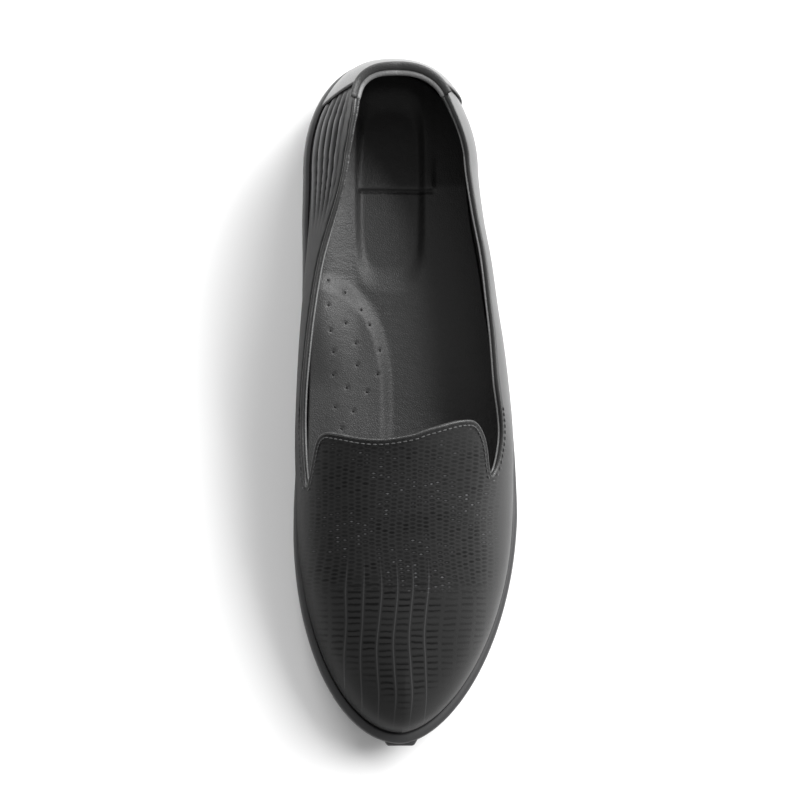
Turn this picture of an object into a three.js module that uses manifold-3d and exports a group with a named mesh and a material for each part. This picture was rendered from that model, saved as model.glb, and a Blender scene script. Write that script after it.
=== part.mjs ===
// Left slip-on loafer with a tab vamp, whole-cut upper and moulded rubber sole.
// Millimetres, +Z up. The toe points towards -Y and +X is the outer side of the foot.
// The origin is on the floor, under the middle of the heel.

import * as THREE from 'three';
import { mergeVertices } from 'three/addons/utils/BufferGeometryUtils.js';
import Module from 'manifold-3d';

const wasm = await Module();
wasm.setup();

// Plan of the sole
const SOLE_LENGTH = 258;
const HEEL_BACK = 36; // from the origin to the rear end of the sole
const BALL_WIDTH = 85;
const HEEL_WIDTH = 66;
const HEEL_ROUND = 44; // length of the round heel end
const TOE_ROUND = 85; // length of the round toe end
const TOE_SWING = 6.5; // ball's middle, towards the outer side
const TOE_TURN = 2.4; // toe tip, back towards the inner side
const HEEL_SQUARENESS = 2.2; // exponent of the heel's superellipse
const TOE_POINT = 1.15; // how much straighter than an ellipse the outer side runs to the toe tip

// Heights of the sole
const HEEL_THICKNESS = 20;
const BALL_THICKNESS = 10.5;
const ARCH_LIFT = 2.5;
const TOE_SPRING = 8; // underside of the toe tip above the floor
const TOE_RISE = 6.5; // seat of the toe tip above the seat of the ball
const LIP_HEIGHT = 0.6;
const LIP_WIDTH = 1.2;

// Upper
const WALL = 2.2;
const COLLAR_PAD = 1.2; // extra thickness of the wall at the back
const RIM_SIDE = 2.8; // ledge of the sole outside the upper
const RIM_WAIST = 1.6; // the same on the inner side of the waist
const RIM_HEEL = 3;
const RIM_TOE = 4.4;
const INSTEP_HEIGHT = 64; // crown over the floor at the tab
const SPINE_TO_TOE = 60; // from the ball line to the front end of the crown line
const BULGE = 3; // fullness of the sides above the feather line
const BULGE_PLACE = 0.55; // exponent of the height, lower puts the bulge lower
const CROWN_SLOPE_BACK = 1.37; // stations between which the slope of the crown line is taken
const CROWN_SLOPE_FRONT = 1.69;
const CROWN_SLOPE_STRETCH = 0.5; // stations over which that slope sets in
const FIT_GAP = 0.3; // between pieces that meet

// Overlay, insole and tread
const COUNTER_THICKNESS = 1;
const COUNTER_EDGE = 17; // from the origin back to the front edge of the heel counter
const INSOLE_THICKNESS = 3.2;
const INSOLE_GAP = 0.6; // from the edge of the insole to the upper
const PATCH_STEP = 0.6; // thickness of the heel patch on the insole
const PATCH_EDGE = -14.4; // place of the front edge of the heel patch
const RECESS_DEPTH = 1.6;
const RECESS_LENGTH = 68;
const RECESS_WIDTH = 24;
const RECESS_SIDE = 0.4; // middle of the recess, towards the inner side
const RECESS_SQUARENESS = 4; // exponent of the recess's superellipse
const RECESS_EDGE = 0.3; // slope at the edge of the recess, as a share of its half width
const PAD_HEIGHT = 3.5;
const PAD_LENGTH = 106;
const PAD_MIDDLE = 98; // from the origin forward to the middle of the arch pad
const PAD_REACH = 36; // from the inner edge of the foot towards the middle
const PAD_EDGE = 0.5; // slope at the edge of the pad, as a share of its reach
const GROOVE_WIDTH = 2.4;
const GROOVE_DEPTH = 1.5;
const GROOVE_PITCH = 9;
const TREAD_BORDER = 7;
const TOE_LUG_WIDTH = 10;
const TOE_LUG_REACH = 1; // beyond the toe tip
const TOE_LUG_ROOT = 4; // behind the toe tip
const TOE_LUG_FLARE = 3; // by which each side is wider at the root

// Stretches along the length, as shares of it from the heel
const HEEL_FLAT_END = 0.24;
const BALL_FLAT_START = 0.52;
const BALL_FLAT_END = 0.72;
const SEAT_DROP_START = 0.2;
const SEAT_DROP_END = 0.62;
const HEEL_TREAD_START = 0.07;
const BALL_TREAD_END = 0.8;

// The toe lug's lower and upper side, as shares of the thickness at the toe tip
const TOE_LUG_LOW = 0.15;
const TOE_LUG_HIGH = 0.8;

// Stations run from -1 at the back, over 0 at the heel line and 1 at the ball line, to 2 at the toe tip.
const HEEL_LINE = HEEL_BACK - HEEL_ROUND;
const BALL_LINE = HEEL_BACK - SOLE_LENGTH + TOE_ROUND;

// Waist of the plan between heel line and ball line: how far each edge has gone from heel to ball width
const WAIST = [
  { at: 0, inner: 0, outer: 0 },
  { at: 0.14, inner: 0.08, outer: 0.1 },
  { at: 0.26, inner: 0.02, outer: 0.28 },
  { at: 0.39, inner: 0.04, outer: 0.45 },
  { at: 0.51, inner: 0.17, outer: 0.64 },
  { at: 0.63, inner: 0.33, outer: 0.79 },
  { at: 0.75, inner: 0.52, outer: 0.9 },
  { at: 0.88, inner: 0.8, outer: 0.97 },
  { at: 1, inner: 1, outer: 1 },
];

// Sections of the last: crown height as a share of the instep height, leanness of each side
// (1 is a round rib, less is fuller, more is leaner) and bulge of each side as a share of the bulge
const SECTIONS = [
  { at: -1, crown: 1.75, innerLean: 1.44, outerLean: 1.44, innerBulge: 0, outerBulge: 0 },
  { at: -0.6, crown: 1.7, innerLean: 1.35, outerLean: 1.4, innerBulge: 0.1, outerBulge: 0.2 },
  { at: -0.3, crown: 1.6, innerLean: 2.1, outerLean: 1.5, innerBulge: 0.3, outerBulge: 0.6 },
  { at: 0, crown: 1.5, innerLean: 2.2, outerLean: 1.25, innerBulge: 0.5, outerBulge: 0.9 },
  { at: 0.3, crown: 1.38, innerLean: 0.95, outerLean: 1, innerBulge: 0.8, outerBulge: 0.9 },
  { at: 0.6, crown: 1.18, innerLean: 0.45, outerLean: 0.96, innerBulge: 1.1, outerBulge: 0.7 },
  { at: 0.78, crown: 0.99, innerLean: 0.42, outerLean: 0.82, innerBulge: 1.2, outerBulge: 0.5 },
  { at: 1, crown: 0.86, innerLean: 0.48, outerLean: 1.2, innerBulge: 0.7, outerBulge: 0.35 },
  { at: 1.14, crown: 0.8, innerLean: 0.65, outerLean: 1.1, innerBulge: 0.45, outerBulge: 0.3 },
  { at: 1.37, crown: 0.72, innerLean: 0.82, outerLean: 0.95, innerBulge: 0.25, outerBulge: 0.2 },
  { at: 1.69, crown: 0.645, innerLean: 0.86, outerLean: 0.88, innerBulge: 0.1, outerBulge: 0.1 },
  { at: 2, crown: 0.62, innerLean: 0.85, outerLean: 0.85, innerBulge: 0, outerBulge: 0 },
];

// Edge of the opening: station and share of the way up the rib from feather line to crown,
// from the back along the outer side to the tab and back along the inner side
const TOPLINE = [
  { side: 1, at: -1, rise: 0.33 },
  { side: 1, at: -0.55, rise: 0.35 },
  { side: 1, at: -0.13, rise: 0.35 },
  { side: 1, at: 0.17, rise: 0.33 },
  { side: 1, at: 0.44, rise: 0.36 },
  { side: 1, at: 0.66, rise: 0.405 },
  { side: 1, at: 0.8, rise: 0.43 },
  { side: 1, at: 0.865, rise: 0.443 },
  { side: 1, at: 0.888, rise: 0.475 },
  { side: 1, at: 0.865, rise: 0.515 },
  { side: 1, at: 0.77, rise: 0.61 },
  { side: 1, at: 0.741, rise: 0.66 },
  { side: 1, at: 0.738, rise: 0.74 },
  { side: 1, at: 0.763, rise: 0.92 },
  { side: -1, at: 0.792, rise: 0.912 },
  { side: -1, at: 0.775, rise: 0.74 },
  { side: -1, at: 0.771, rise: 0.67 },
  { side: -1, at: 0.79, rise: 0.615 },
  { side: -1, at: 0.888, rise: 0.54 },
  { side: -1, at: 0.917, rise: 0.5 },
  { side: -1, at: 0.902, rise: 0.473 },
  { side: -1, at: 0.763, rise: 0.425 },
  { side: -1, at: 0.6, rise: 0.415 },
  { side: -1, at: 0.45, rise: 0.385 },
  { side: -1, at: 0.2, rise: 0.32 },
  { side: -1, at: -0.03, rise: 0.305 },
  { side: -1, at: -0.36, rise: 0.32 },
  { side: -1, at: -0.65, rise: 0.345 },
];

const TOPLINE_STEPS = 6; // points from one row to the next

// Side of the sole, from the tread up to the ledge: inset as a share of the side rim,
// rise as a share of the local thickness and lip as a share of the lip height
const SOLE_SIDE = [
  { inset: 0.9, rise: 0, lip: 0 },
  { inset: 0.42, rise: 0.09, lip: 0 },
  { inset: 0.26, rise: 0.4, lip: 0 },
  { inset: 0.55, rise: 0.46, lip: 0 },
  { inset: 0.52, rise: 0.54, lip: 0 },
  { inset: 0.14, rise: 0.6, lip: 0 },
  { inset: 0, rise: 0.88, lip: 0 },
  { inset: 0.06, rise: 1, lip: 0.6 },
  { inset: 0.16, rise: 1, lip: 1 },
];

const lerp = (a, b, share) => a + (b - a) * share;
const clamp = (value, low, high) => Math.min(high, Math.max(low, value));
const smooth = (value) => {
  const share = clamp(value, 0, 1);
  return share * share * (3 - 2 * share);
};

// A smooth curve through one column of a table, level at both ends
function column(table, name, at) {
  const last = table.length - 1;
  let row = 0;
  while (row < last - 1 && at > table[row + 1].at) row += 1;
  const slope = (i) => {
    if (i <= 0 || i >= last) return 0;
    return (table[i + 1][name] - table[i - 1][name]) / (table[i + 1].at - table[i - 1].at);
  };
  const span = table[row + 1].at - table[row].at;
  const u = clamp((at - table[row].at) / span, 0, 1);
  const start = table[row][name];
  const end = table[row + 1][name];
  return (
    start * (1 + 2 * u) * (1 - u) ** 2 +
    end * u * u * (3 - 2 * u) +
    slope(row) * span * u * (1 - u) ** 2 -
    slope(row + 1) * span * u * u * (1 - u)
  );
}

const along = (y) => (HEEL_BACK - y) / SOLE_LENGTH;

// Underside of the sole
function ground(y) {
  const share = along(y);
  if (share > BALL_FLAT_END) {
    return TOE_SPRING * ((share - BALL_FLAT_END) / (1 - BALL_FLAT_END)) ** 2;
  }
  if (share > HEEL_FLAT_END && share < BALL_FLAT_START) {
    const arch = (share - HEEL_FLAT_END) / (BALL_FLAT_START - HEEL_FLAT_END);
    return ARCH_LIFT * Math.sin(Math.PI * arch) ** 2;
  }
  return 0;
}

// Top of the sole, on which upper and insole stand
function seat(y) {
  const share = along(y);
  const drop = smooth((share - SEAT_DROP_START) / (SEAT_DROP_END - SEAT_DROP_START));
  const toe = Math.max(0, (share - BALL_FLAT_END) / (1 - BALL_FLAT_END));
  return lerp(HEEL_THICKNESS, BALL_THICKNESS, drop) + TOE_RISE * toe ** 2;
}

// Outline of the sole at a station, on the outer (+1) or inner (-1) side
function outline(at, side) {
  if (at <= 0) {
    const turn = ((at + 1) * Math.PI) / 2;
    const power = 2 / HEEL_SQUARENESS;
    return [
      (side * HEEL_WIDTH * Math.max(0, Math.sin(turn)) ** power) / 2,
      HEEL_LINE + HEEL_ROUND * Math.max(0, Math.cos(turn)) ** power,
    ];
  }
  if (at >= 1) {
    const turn = ((2 - at) * Math.PI) / 2;
    const spread = Math.max(0, Math.sin(turn)) ** (side > 0 ? TOE_POINT : 1);
    return [
      TOE_SWING - TOE_TURN * Math.cos(turn) + (side * BALL_WIDTH * spread) / 2,
      BALL_LINE - TOE_ROUND * Math.cos(turn),
    ];
  }
  const grown = column(WAIST, side > 0 ? 'outer' : 'inner', at);
  const ball = BALL_WIDTH / 2 + side * TOE_SWING;
  return [side * lerp(HEEL_WIDTH / 2, ball, grown), lerp(HEEL_LINE, BALL_LINE, at)];
}

// The outline moved inwards by a distance
function insetOutline(at, side, inset) {
  const [x, y] = outline(at, side);
  if (at <= -1) return [0, y - inset];
  if (at >= 2) return [x, y + inset];
  const step = 1e-3;
  const [x0, y0] = outline(Math.max(-1, at - step), side);
  const [x1, y1] = outline(Math.min(2, at + step), side);
  const length = Math.hypot(x1 - x0, y1 - y0);
  return [x + (side * (y1 - y0) * inset) / length, y - (side * (x1 - x0) * inset) / length];
}

// Width of the ledge around the upper
function rim(at, side) {
  if (at < 0) return lerp(RIM_SIDE, RIM_HEEL, smooth(-at));
  if (at > 1) return lerp(RIM_SIDE, RIM_TOE, smooth(at - 1));
  return side > 0 ? RIM_SIDE : lerp(RIM_SIDE, RIM_WAIST, Math.sin(Math.PI * at) ** 2);
}

// Crown line: x, y and height, and the slope of the height along y
function crown(at, depth) {
  const y = at < 0 ? HEEL_LINE : at > 1
    ? BALL_LINE - SPINE_TO_TOE * Math.cos(((2 - at) * Math.PI) / 2)
    : lerp(HEEL_LINE, BALL_LINE, at);
  const x = at > 1
    ? TOE_SWING - TOE_TURN * Math.cos(((2 - at) * Math.PI) / 2)
    : TOE_SWING * smooth(at);
  return [x, y, INSTEP_HEIGHT * column(SECTIONS, 'crown', at) - depth];
}

function crownSlope() {
  const [, backY, backZ] = crown(CROWN_SLOPE_BACK, 0);
  const [, frontY, frontZ] = crown(CROWN_SLOPE_FRONT, 0);
  return (backZ - frontZ) / (backY - frontY);
}

// Surface of the last, moved inwards by depth. rise runs from 0 at the feather line to 1 at the crown.
function skin(at, side, rise, depth) {
  const [footX, footY] = insetOutline(at, side, rim(at, side) + depth);
  const footZ = seat(footY) + FIT_GAP;
  const [topX, topY, topZ] = crown(at, depth);
  const lean = column(SECTIONS, side > 0 ? 'outerLean' : 'innerLean', at);
  const bulge = BULGE * column(SECTIONS, side > 0 ? 'outerBulge' : 'innerBulge', at);
  const turn = (clamp(rise, 0, 1) ** (1 / lean) * Math.PI) / 2;
  const away = Math.cos(turn);
  const climb = Math.sin(turn) ** lean;
  const swell = bulge * Math.sin(Math.PI * climb ** BULGE_PLACE) ** 2;
  const reach = Math.hypot(footX - topX, footY - topY) || 1;
  const spread = away + swell / reach;
  const y = lerp(topY, footY, spread);
  const setIn = smooth((at - 1) / CROWN_SLOPE_STRETCH);
  const tilt = at > 1 ? crownSlope() * (y - topY) * climb ** 2 * setIn : 0;
  return [lerp(topX, footX, spread), y, lerp(footZ, topZ, climb) + tilt];
}

// Stations of every piece: close together where the plan turns
function stations(heelSteps, waistSteps, toeSteps, extra = []) {
  const list = [...extra];
  for (let i = 0; i < heelSteps; i += 1) list.push(-1 + i / heelSteps);
  for (let i = 0; i < waistSteps; i += 1) list.push(i / waistSteps);
  for (let i = 0; i <= toeSteps; i += 1) list.push(1 + i / toeSteps);
  return list.sort((a, b) => a - b);
}

// Collects quads and triangles into one closed mesh
class Skin {
  constructor() {
    this.points = [];
    this.faces = [];
  }

  quad(a, b, c, d) {
    this.triangle(a, b, c);
    this.triangle(a, c, d);
  }

  triangle(a, b, c) {
    const start = this.points.length / 3;
    this.points.push(...a, ...b, ...c);
    this.faces.push(start, start + 1, start + 2);
  }

  sheet(rows, flip) {
    for (let i = 0; i + 1 < rows.length; i += 1) {
      for (let j = 0; j + 1 < rows[i].length; j += 1) {
        const [a, b, c, d] = [rows[i][j], rows[i + 1][j], rows[i + 1][j + 1], rows[i][j + 1]];
        if (flip) this.quad(a, b, c, d);
        else this.quad(d, c, b, a);
      }
    }
  }

  solid() {
    const geometry = new THREE.BufferGeometry();
    geometry.setAttribute('position', new THREE.Float32BufferAttribute(this.points, 3));
    geometry.setIndex(this.faces);
    return toSolid(geometry);
  }
}

function toSolid(geometry) {
  geometry.deleteAttribute('normal');
  geometry.deleteAttribute('uv');
  const merged = mergeVertices(geometry, 1e-4);
  const index = merged.index.array;
  const kept = [];
  for (let i = 0; i < index.length; i += 3) {
    const [a, b, c] = [index[i], index[i + 1], index[i + 2]];
    if (a !== b && b !== c && c !== a) kept.push(a, b, c);
  }
  const mesh = new wasm.Mesh({
    numProp: 3,
    vertProperties: new Float32Array(merged.attributes.position.array),
    triVerts: new Uint32Array(kept),
  });
  mesh.merge();
  return new wasm.Manifold(mesh);
}

function toMesh(solid, name, look) {
  const mesh = solid.getMesh();
  const geometry = new THREE.BufferGeometry();
  geometry.setAttribute('position', new THREE.BufferAttribute(new Float32Array(mesh.vertProperties), 3));
  geometry.setIndex(new THREE.BufferAttribute(new Uint32Array(mesh.triVerts), 1));
  geometry.computeVertexNormals();
  const result = new THREE.Mesh(geometry, new THREE.MeshStandardMaterial(look));
  result.name = name;
  return result;
}

// Both sides of the last at one station, from the outer feather line over the crown to the inner one
function rib(at, depth, steps) {
  const row = [];
  for (let j = 0; j <= steps; j += 1) row.push(skin(at, 1, j / steps, depth(at)));
  for (let j = steps - 1; j >= 0; j -= 1) row.push(skin(at, -1, j / steps, depth(at)));
  return row;
}

// Shell between two depths, open underneath
function shell(outerDepth, innerDepth, list, steps) {
  const outside = list.map((at) => rib(at, outerDepth, steps));
  const inside = list.map((at) => rib(at, innerDepth, steps));
  const last = 2 * steps;
  const body = new Skin();
  body.sheet(outside, false);
  body.sheet(inside, true);
  for (let i = 0; i + 1 < list.length; i += 1) {
    body.quad(outside[i + 1][0], inside[i + 1][0], inside[i][0], outside[i][0]);
    body.quad(outside[i][last], inside[i][last], inside[i + 1][last], outside[i + 1][last]);
  }
  return body.solid();
}

const wallAt = (at) => WALL + COLLAR_PAD * smooth(-at);

// Closed curve along the edge of the opening, in stations and signed rises
function toplineCurve(stepsPerPoint) {
  const points = TOPLINE.map(({ side, at, rise }) => new THREE.Vector3(at, side * (1 - rise), 0));
  const open = new THREE.CatmullRomCurve3([...points, new THREE.Vector3(-1, points[0].y * -1, 0)], false);
  const count = stepsPerPoint * points.length;
  return open.getPoints(count).slice(0, count).map((p) => {
    const side = p.y >= 0 ? 1 : -1;
    return { at: clamp(p.x, -1, 2), side, rise: 1 - Math.abs(p.y) };
  });
}

// Solid that cuts the opening: a strip across the wall along the topline, walls up from it and two caps
function openingCutter() {
  const reach = 2 * (WALL + COLLAR_PAD);
  const ceiling = 2 * INSTEP_HEIGHT;
  const ring = toplineCurve(TOPLINE_STEPS).map(({ at, side, rise }) => {
    const point = new THREE.Vector3(...skin(at, side, rise, 0));
    const deeper = new THREE.Vector3(...skin(at, side, rise, 1));
    const inwards = deeper.sub(point).normalize();
    const outer = point.clone().addScaledVector(inwards, -reach);
    const inner = point.clone().addScaledVector(inwards, reach);
    return { outer, inner };
  });
  const body = new Skin();
  const top = ring.map(({ outer }) => new THREE.Vector2(outer.x, outer.y));
  const bottom = ring.map(({ inner }) => new THREE.Vector2(inner.x, inner.y));
  ring.forEach(({ outer, inner }, i) => {
    const next = ring[(i + 1) % ring.length];
    const above = [outer.x, outer.y, ceiling];
    const nextAbove = [next.outer.x, next.outer.y, ceiling];
    body.quad(inner.toArray(), outer.toArray(), next.outer.toArray(), next.inner.toArray());
    body.quad(outer.toArray(), above, nextAbove, next.outer.toArray());
  });
  THREE.ShapeUtils.triangulateShape(top, []).forEach(([a, b, c]) => {
    const corner = (i) => [top[i].x, top[i].y, ceiling];
    body.triangle(corner(a), corner(b), corner(c));
  });
  THREE.ShapeUtils.triangulateShape(bottom, []).forEach(([a, b, c]) => {
    body.triangle(ring[a].inner.toArray(), ring[c].inner.toArray(), ring[b].inner.toArray());
  });
  return body.solid();
}

const UPPER_STATIONS = stations(9, 18, 14);
const UPPER_RIB_STEPS = 13;
const cutter = openingCutter();

function makeUpper() {
  const hollow = shell(() => 0, wallAt, UPPER_STATIONS, UPPER_RIB_STEPS);
  return hollow.subtract(cutter);
}

function makeCounter() {
  const under = () => -FIT_GAP;
  const over = () => -FIT_GAP - COUNTER_THICKNESS;
  const patch = shell(over, under, UPPER_STATIONS, UPPER_RIB_STEPS);
  const depth = 2 * HEEL_ROUND;
  const box = new THREE.BoxGeometry(2 * HEEL_WIDTH, depth, 2 * INSTEP_HEIGHT);
  box.translate(0, COUNTER_EDGE + depth / 2, INSTEP_HEIGHT);
  return patch.intersect(toSolid(box)).subtract(cutter);
}

// Height of the insole's top over its underside
function insoleLoft(x, y) {
  const patch = y > PATCH_EDGE ? PATCH_STEP : 0;
  const recessX = Math.abs(x + RECESS_SIDE) / (RECESS_WIDTH / 2);
  const recessY = Math.abs(y - PATCH_EDGE) / (RECESS_LENGTH / 2);
  const oval = (recessX ** RECESS_SQUARENESS + recessY ** RECESS_SQUARENESS) ** (1 / RECESS_SQUARENESS);
  const recess = smooth((1 - oval) / RECESS_EDGE + 0.5);
  const padX = (x + HEEL_WIDTH / 2) / PAD_REACH;
  const padY = (y + PAD_MIDDLE) / (PAD_LENGTH / 2);
  const pad = smooth((1 - Math.hypot(padX, padY)) / PAD_EDGE);
  return INSOLE_THICKNESS + patch - RECESS_DEPTH * recess + PAD_HEIGHT * pad;
}

function makeInsole() {
  const edge = (HEEL_LINE - PATCH_EDGE) / (HEEL_LINE - BALL_LINE);
  const step = 0.002;
  const list = stations(9, 20, 12, [edge - step, edge + step]);
  const columns = 14;
  const depthAt = (at) => wallAt(at) + INSOLE_GAP;
  const sideAt = (at, side, loft) => {
    const lean = column(SECTIONS, side > 0 ? 'outerLean' : 'innerLean', at);
    const [, , low] = skin(at, side, 0, depthAt(at));
    const [, , high] = crown(at, depthAt(at));
    const climb = loft / (high - low);
    const turn = Math.asin(climb ** (1 / lean));
    return skin(at, side, ((2 * turn) / Math.PI) ** lean, depthAt(at));
  };
  const rows = list.map((at) => {
    const low = [skin(at, 1, 0, depthAt(at)), skin(at, -1, 0, depthAt(at))];
    const high = [sideAt(at, 1, INSOLE_THICKNESS), sideAt(at, -1, INSOLE_THICKNESS)];
    const bottom = [];
    const top = [];
    for (let j = 0; j <= columns; j += 1) {
      const share = j / columns;
      const x = lerp(low[0][0], low[1][0], share);
      const y = lerp(low[0][1], low[1][1], share);
      bottom.push([x, y, seat(y) + FIT_GAP]);
      const edgeX = lerp(high[0][0], high[1][0], share);
      const edgeY = lerp(high[0][1], high[1][1], share);
      top.push([edgeX, edgeY, seat(edgeY) + FIT_GAP + insoleLoft(edgeX, edgeY)]);
    }
    return { bottom, top };
  });
  const body = new Skin();
  body.sheet(rows.map(({ top }) => top), false);
  body.sheet(rows.map(({ bottom }) => bottom), true);
  for (let i = 0; i + 1 < rows.length; i += 1) {
    const [a, b] = [rows[i], rows[i + 1]];
    body.quad(b.top[0], b.bottom[0], a.bottom[0], a.top[0]);
    body.quad(a.top[columns], a.bottom[columns], b.bottom[columns], b.top[columns]);
  }
  return body.solid();
}

function soleBlank() {
  const list = stations(12, 22, 20);
  const steps = SOLE_SIDE.length;
  const rows = list.map((at) => {
    const levels = (side) => {
      const edge = SOLE_SIDE.map(({ inset, rise, lip }) => {
        const [x, y] = insetOutline(at, side, inset * RIM_SIDE);
        return [x, y, lerp(ground(y), seat(y), rise) + lip * LIP_HEIGHT];
      });
      const [crestX, crestY] = insetOutline(at, side, LIP_WIDTH);
      const [innerX, innerY] = insetOutline(at, side, LIP_WIDTH + LIP_HEIGHT / 2);
      edge.push([crestX, crestY, seat(crestY) + LIP_HEIGHT]);
      edge.push([innerX, innerY, seat(innerY)]);
      return edge;
    };
    return { outer: levels(1), inner: levels(-1) };
  });
  const body = new Skin();
  body.sheet(rows.map(({ outer }) => outer), false);
  body.sheet(rows.map(({ inner }) => inner), true);
  for (let i = 0; i + 1 < rows.length; i += 1) {
    const [a, b] = [rows[i], rows[i + 1]];
    body.quad(a.outer[0], b.outer[0], b.inner[0], a.inner[0]);
    body.quad(a.inner[steps + 1], b.inner[steps + 1], b.outer[steps + 1], a.outer[steps + 1]);
  }
  return body.solid();
}

// Tread grooves from side to side, in the flat stretches of heel and ball
function treadGrooves() {
  const fields = [
    { from: HEEL_TREAD_START, to: HEEL_FLAT_END },
    { from: BALL_FLAT_START, to: BALL_TREAD_END },
  ];
  const grooves = [];
  fields.forEach(({ from, to }) => {
    const length = (to - from) * SOLE_LENGTH;
    const count = Math.max(1, Math.round(length / GROOVE_PITCH));
    for (let i = 0; i < count; i += 1) {
      const y = HEEL_BACK - from * SOLE_LENGTH - (i + 0.5) * (length / count);
      grooves.push(y);
    }
  });
  return grooves.filter((y) => Math.abs(y) > GROOVE_WIDTH).map((y) => {
    const at = stationAt(y);
    const [outerX] = insetOutline(at, 1, TREAD_BORDER);
    const [innerX] = insetOutline(at, -1, TREAD_BORDER);
    const depth = GROOVE_DEPTH + ground(y);
    const box = new THREE.BoxGeometry(outerX - innerX, GROOVE_WIDTH, 2 * depth);
    box.translate((outerX + innerX) / 2, y, 0);
    return toSolid(box);
  });
}

// Station of a place along the length
function stationAt(y) {
  if (y > HEEL_LINE) {
    const share = clamp((y - HEEL_LINE) / HEEL_ROUND, 0, 1) ** (HEEL_SQUARENESS / 2);
    return (2 / Math.PI) * Math.acos(share) - 1;
  }
  if (y < BALL_LINE) return 2 - (2 / Math.PI) * Math.acos(clamp((BALL_LINE - y) / TOE_ROUND, 0, 1));
  return (HEEL_LINE - y) / (HEEL_LINE - BALL_LINE);
}

// Small lug on the front of the toe, narrower at its front
function toeLug() {
  const tipY = HEEL_BACK - SOLE_LENGTH;
  const low = lerp(ground(tipY), seat(tipY), TOE_LUG_LOW);
  const high = lerp(ground(tipY), seat(tipY), TOE_LUG_HIGH);
  const shape = new THREE.Shape();
  shape.moveTo(-TOE_LUG_WIDTH / 2 - TOE_LUG_FLARE, TOE_LUG_ROOT);
  shape.lineTo(-TOE_LUG_WIDTH / 2, -TOE_LUG_REACH);
  shape.lineTo(TOE_LUG_WIDTH / 2, -TOE_LUG_REACH);
  shape.lineTo(TOE_LUG_WIDTH / 2 + TOE_LUG_FLARE, TOE_LUG_ROOT);
  const lug = new THREE.ExtrudeGeometry(shape, { depth: high - low, bevelEnabled: false });
  lug.translate(TOE_SWING - TOE_TURN, tipY, low);
  return toSolid(lug);
}

function makeSole() {
  const blank = soleBlank().add(toeLug());
  return treadGrooves().reduce((solid, groove) => solid.subtract(groove), blank);
}

const shoe = new THREE.Group();
shoe.name = 'left_loafer';
shoe.add(toMesh(makeUpper(), 'upper', { color: 0x1c1c1d, roughness: 0.42, metalness: 0 }));
shoe.add(toMesh(makeCounter(), 'heel_counter', { color: 0x222223, roughness: 0.34, metalness: 0 }));
shoe.add(toMesh(makeInsole(), 'insole', { color: 0x262627, roughness: 0.5, metalness: 0 }));
shoe.add(toMesh(makeSole(), 'sole', { color: 0x141415, roughness: 0.65, metalness: 0 }));

export default shoe;
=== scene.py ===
"""Left slip-on loafer in black lizard-print leather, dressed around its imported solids."""

import logging
import math
from bisect import bisect_right
from dataclasses import dataclass
from enum import Enum
from typing import Callable, Sequence

import bmesh
import bpy
from mathutils import Matrix, Vector
from mathutils.kdtree import KDTree


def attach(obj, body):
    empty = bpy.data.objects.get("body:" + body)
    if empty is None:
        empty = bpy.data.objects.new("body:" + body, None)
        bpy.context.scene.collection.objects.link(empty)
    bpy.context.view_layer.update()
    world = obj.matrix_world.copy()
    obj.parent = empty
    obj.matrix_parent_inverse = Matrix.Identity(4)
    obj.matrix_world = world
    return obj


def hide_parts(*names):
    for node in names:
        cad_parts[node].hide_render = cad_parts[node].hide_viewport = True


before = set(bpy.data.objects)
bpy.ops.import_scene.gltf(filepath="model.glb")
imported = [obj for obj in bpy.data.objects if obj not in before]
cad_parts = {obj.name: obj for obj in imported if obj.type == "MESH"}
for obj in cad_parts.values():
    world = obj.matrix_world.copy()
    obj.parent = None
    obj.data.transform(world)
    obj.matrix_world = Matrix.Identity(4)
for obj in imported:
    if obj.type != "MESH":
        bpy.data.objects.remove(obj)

log = logging.getLogger("loafer")
MM = 0.001
MERGE_DISTANCE = 0.01 * MM
BODY = "root"

Row = list[Vector]
Masks = dict[str, list[float]]
Profile = list[tuple[float, float]]
Kit = dict[str, bpy.types.Material]
Socket = bpy.types.NodeSocket
Piece = bpy.types.Object


class Side(Enum):
    """Side of the foot, as the sign of X."""

    OUTER = 1
    INNER = -1

    @property
    def word(self) -> str:
        """Name of the side, as the tables use it."""
        return self.name.lower()

    @classmethod
    def of(cls, mark: float) -> "Side":
        """Return the side on which a mark lies."""
        return cls.OUTER if mark >= 0 else cls.INNER


class Slot(Enum):
    """Material slots of the record."""

    UPPER = "upper_leather"
    COUNTER = "counter_leather"
    LINING = "lining_leather"
    SOLE = "sole_rubber"


def lerp(a: float, b: float, share: float) -> float:
    """Return the value a share of the way from a to b."""
    return a + (b - a) * share


def clamp(value: float, low: float = 0.0, high: float = 1.0) -> float:
    """Return the value held between low and high."""
    return min(high, max(low, value))


def smooth(value: float) -> float:
    """Return a soft step from 0 to 1."""
    share = clamp(value)
    return share * share * (3 - 2 * share)


def band(value: float, low: float, high: float, soft: float) -> float:
    """Return 1 between low and high, fading over a soft stretch on both sides."""
    return smooth((value - low) / soft + 0.5) * smooth((high - value) / soft + 0.5)


@dataclass(frozen=True)
class Waist:
    """How far each edge of the plan has gone from heel width to ball width."""

    at: float
    inner: float
    outer: float


@dataclass(frozen=True)
class Section:
    """One section of the last: crown height, leanness and bulge of each side."""

    at: float
    crown: float
    inner_lean: float
    outer_lean: float
    inner_bulge: float
    outer_bulge: float


WAIST = tuple(Waist(*row) for row in (
    (0, 0, 0), (0.14, 0.08, 0.1), (0.26, 0.02, 0.28), (0.39, 0.04, 0.45), (0.51, 0.17, 0.64),
    (0.63, 0.33, 0.79), (0.75, 0.52, 0.9), (0.88, 0.8, 0.97), (1, 1, 1),
))

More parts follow.
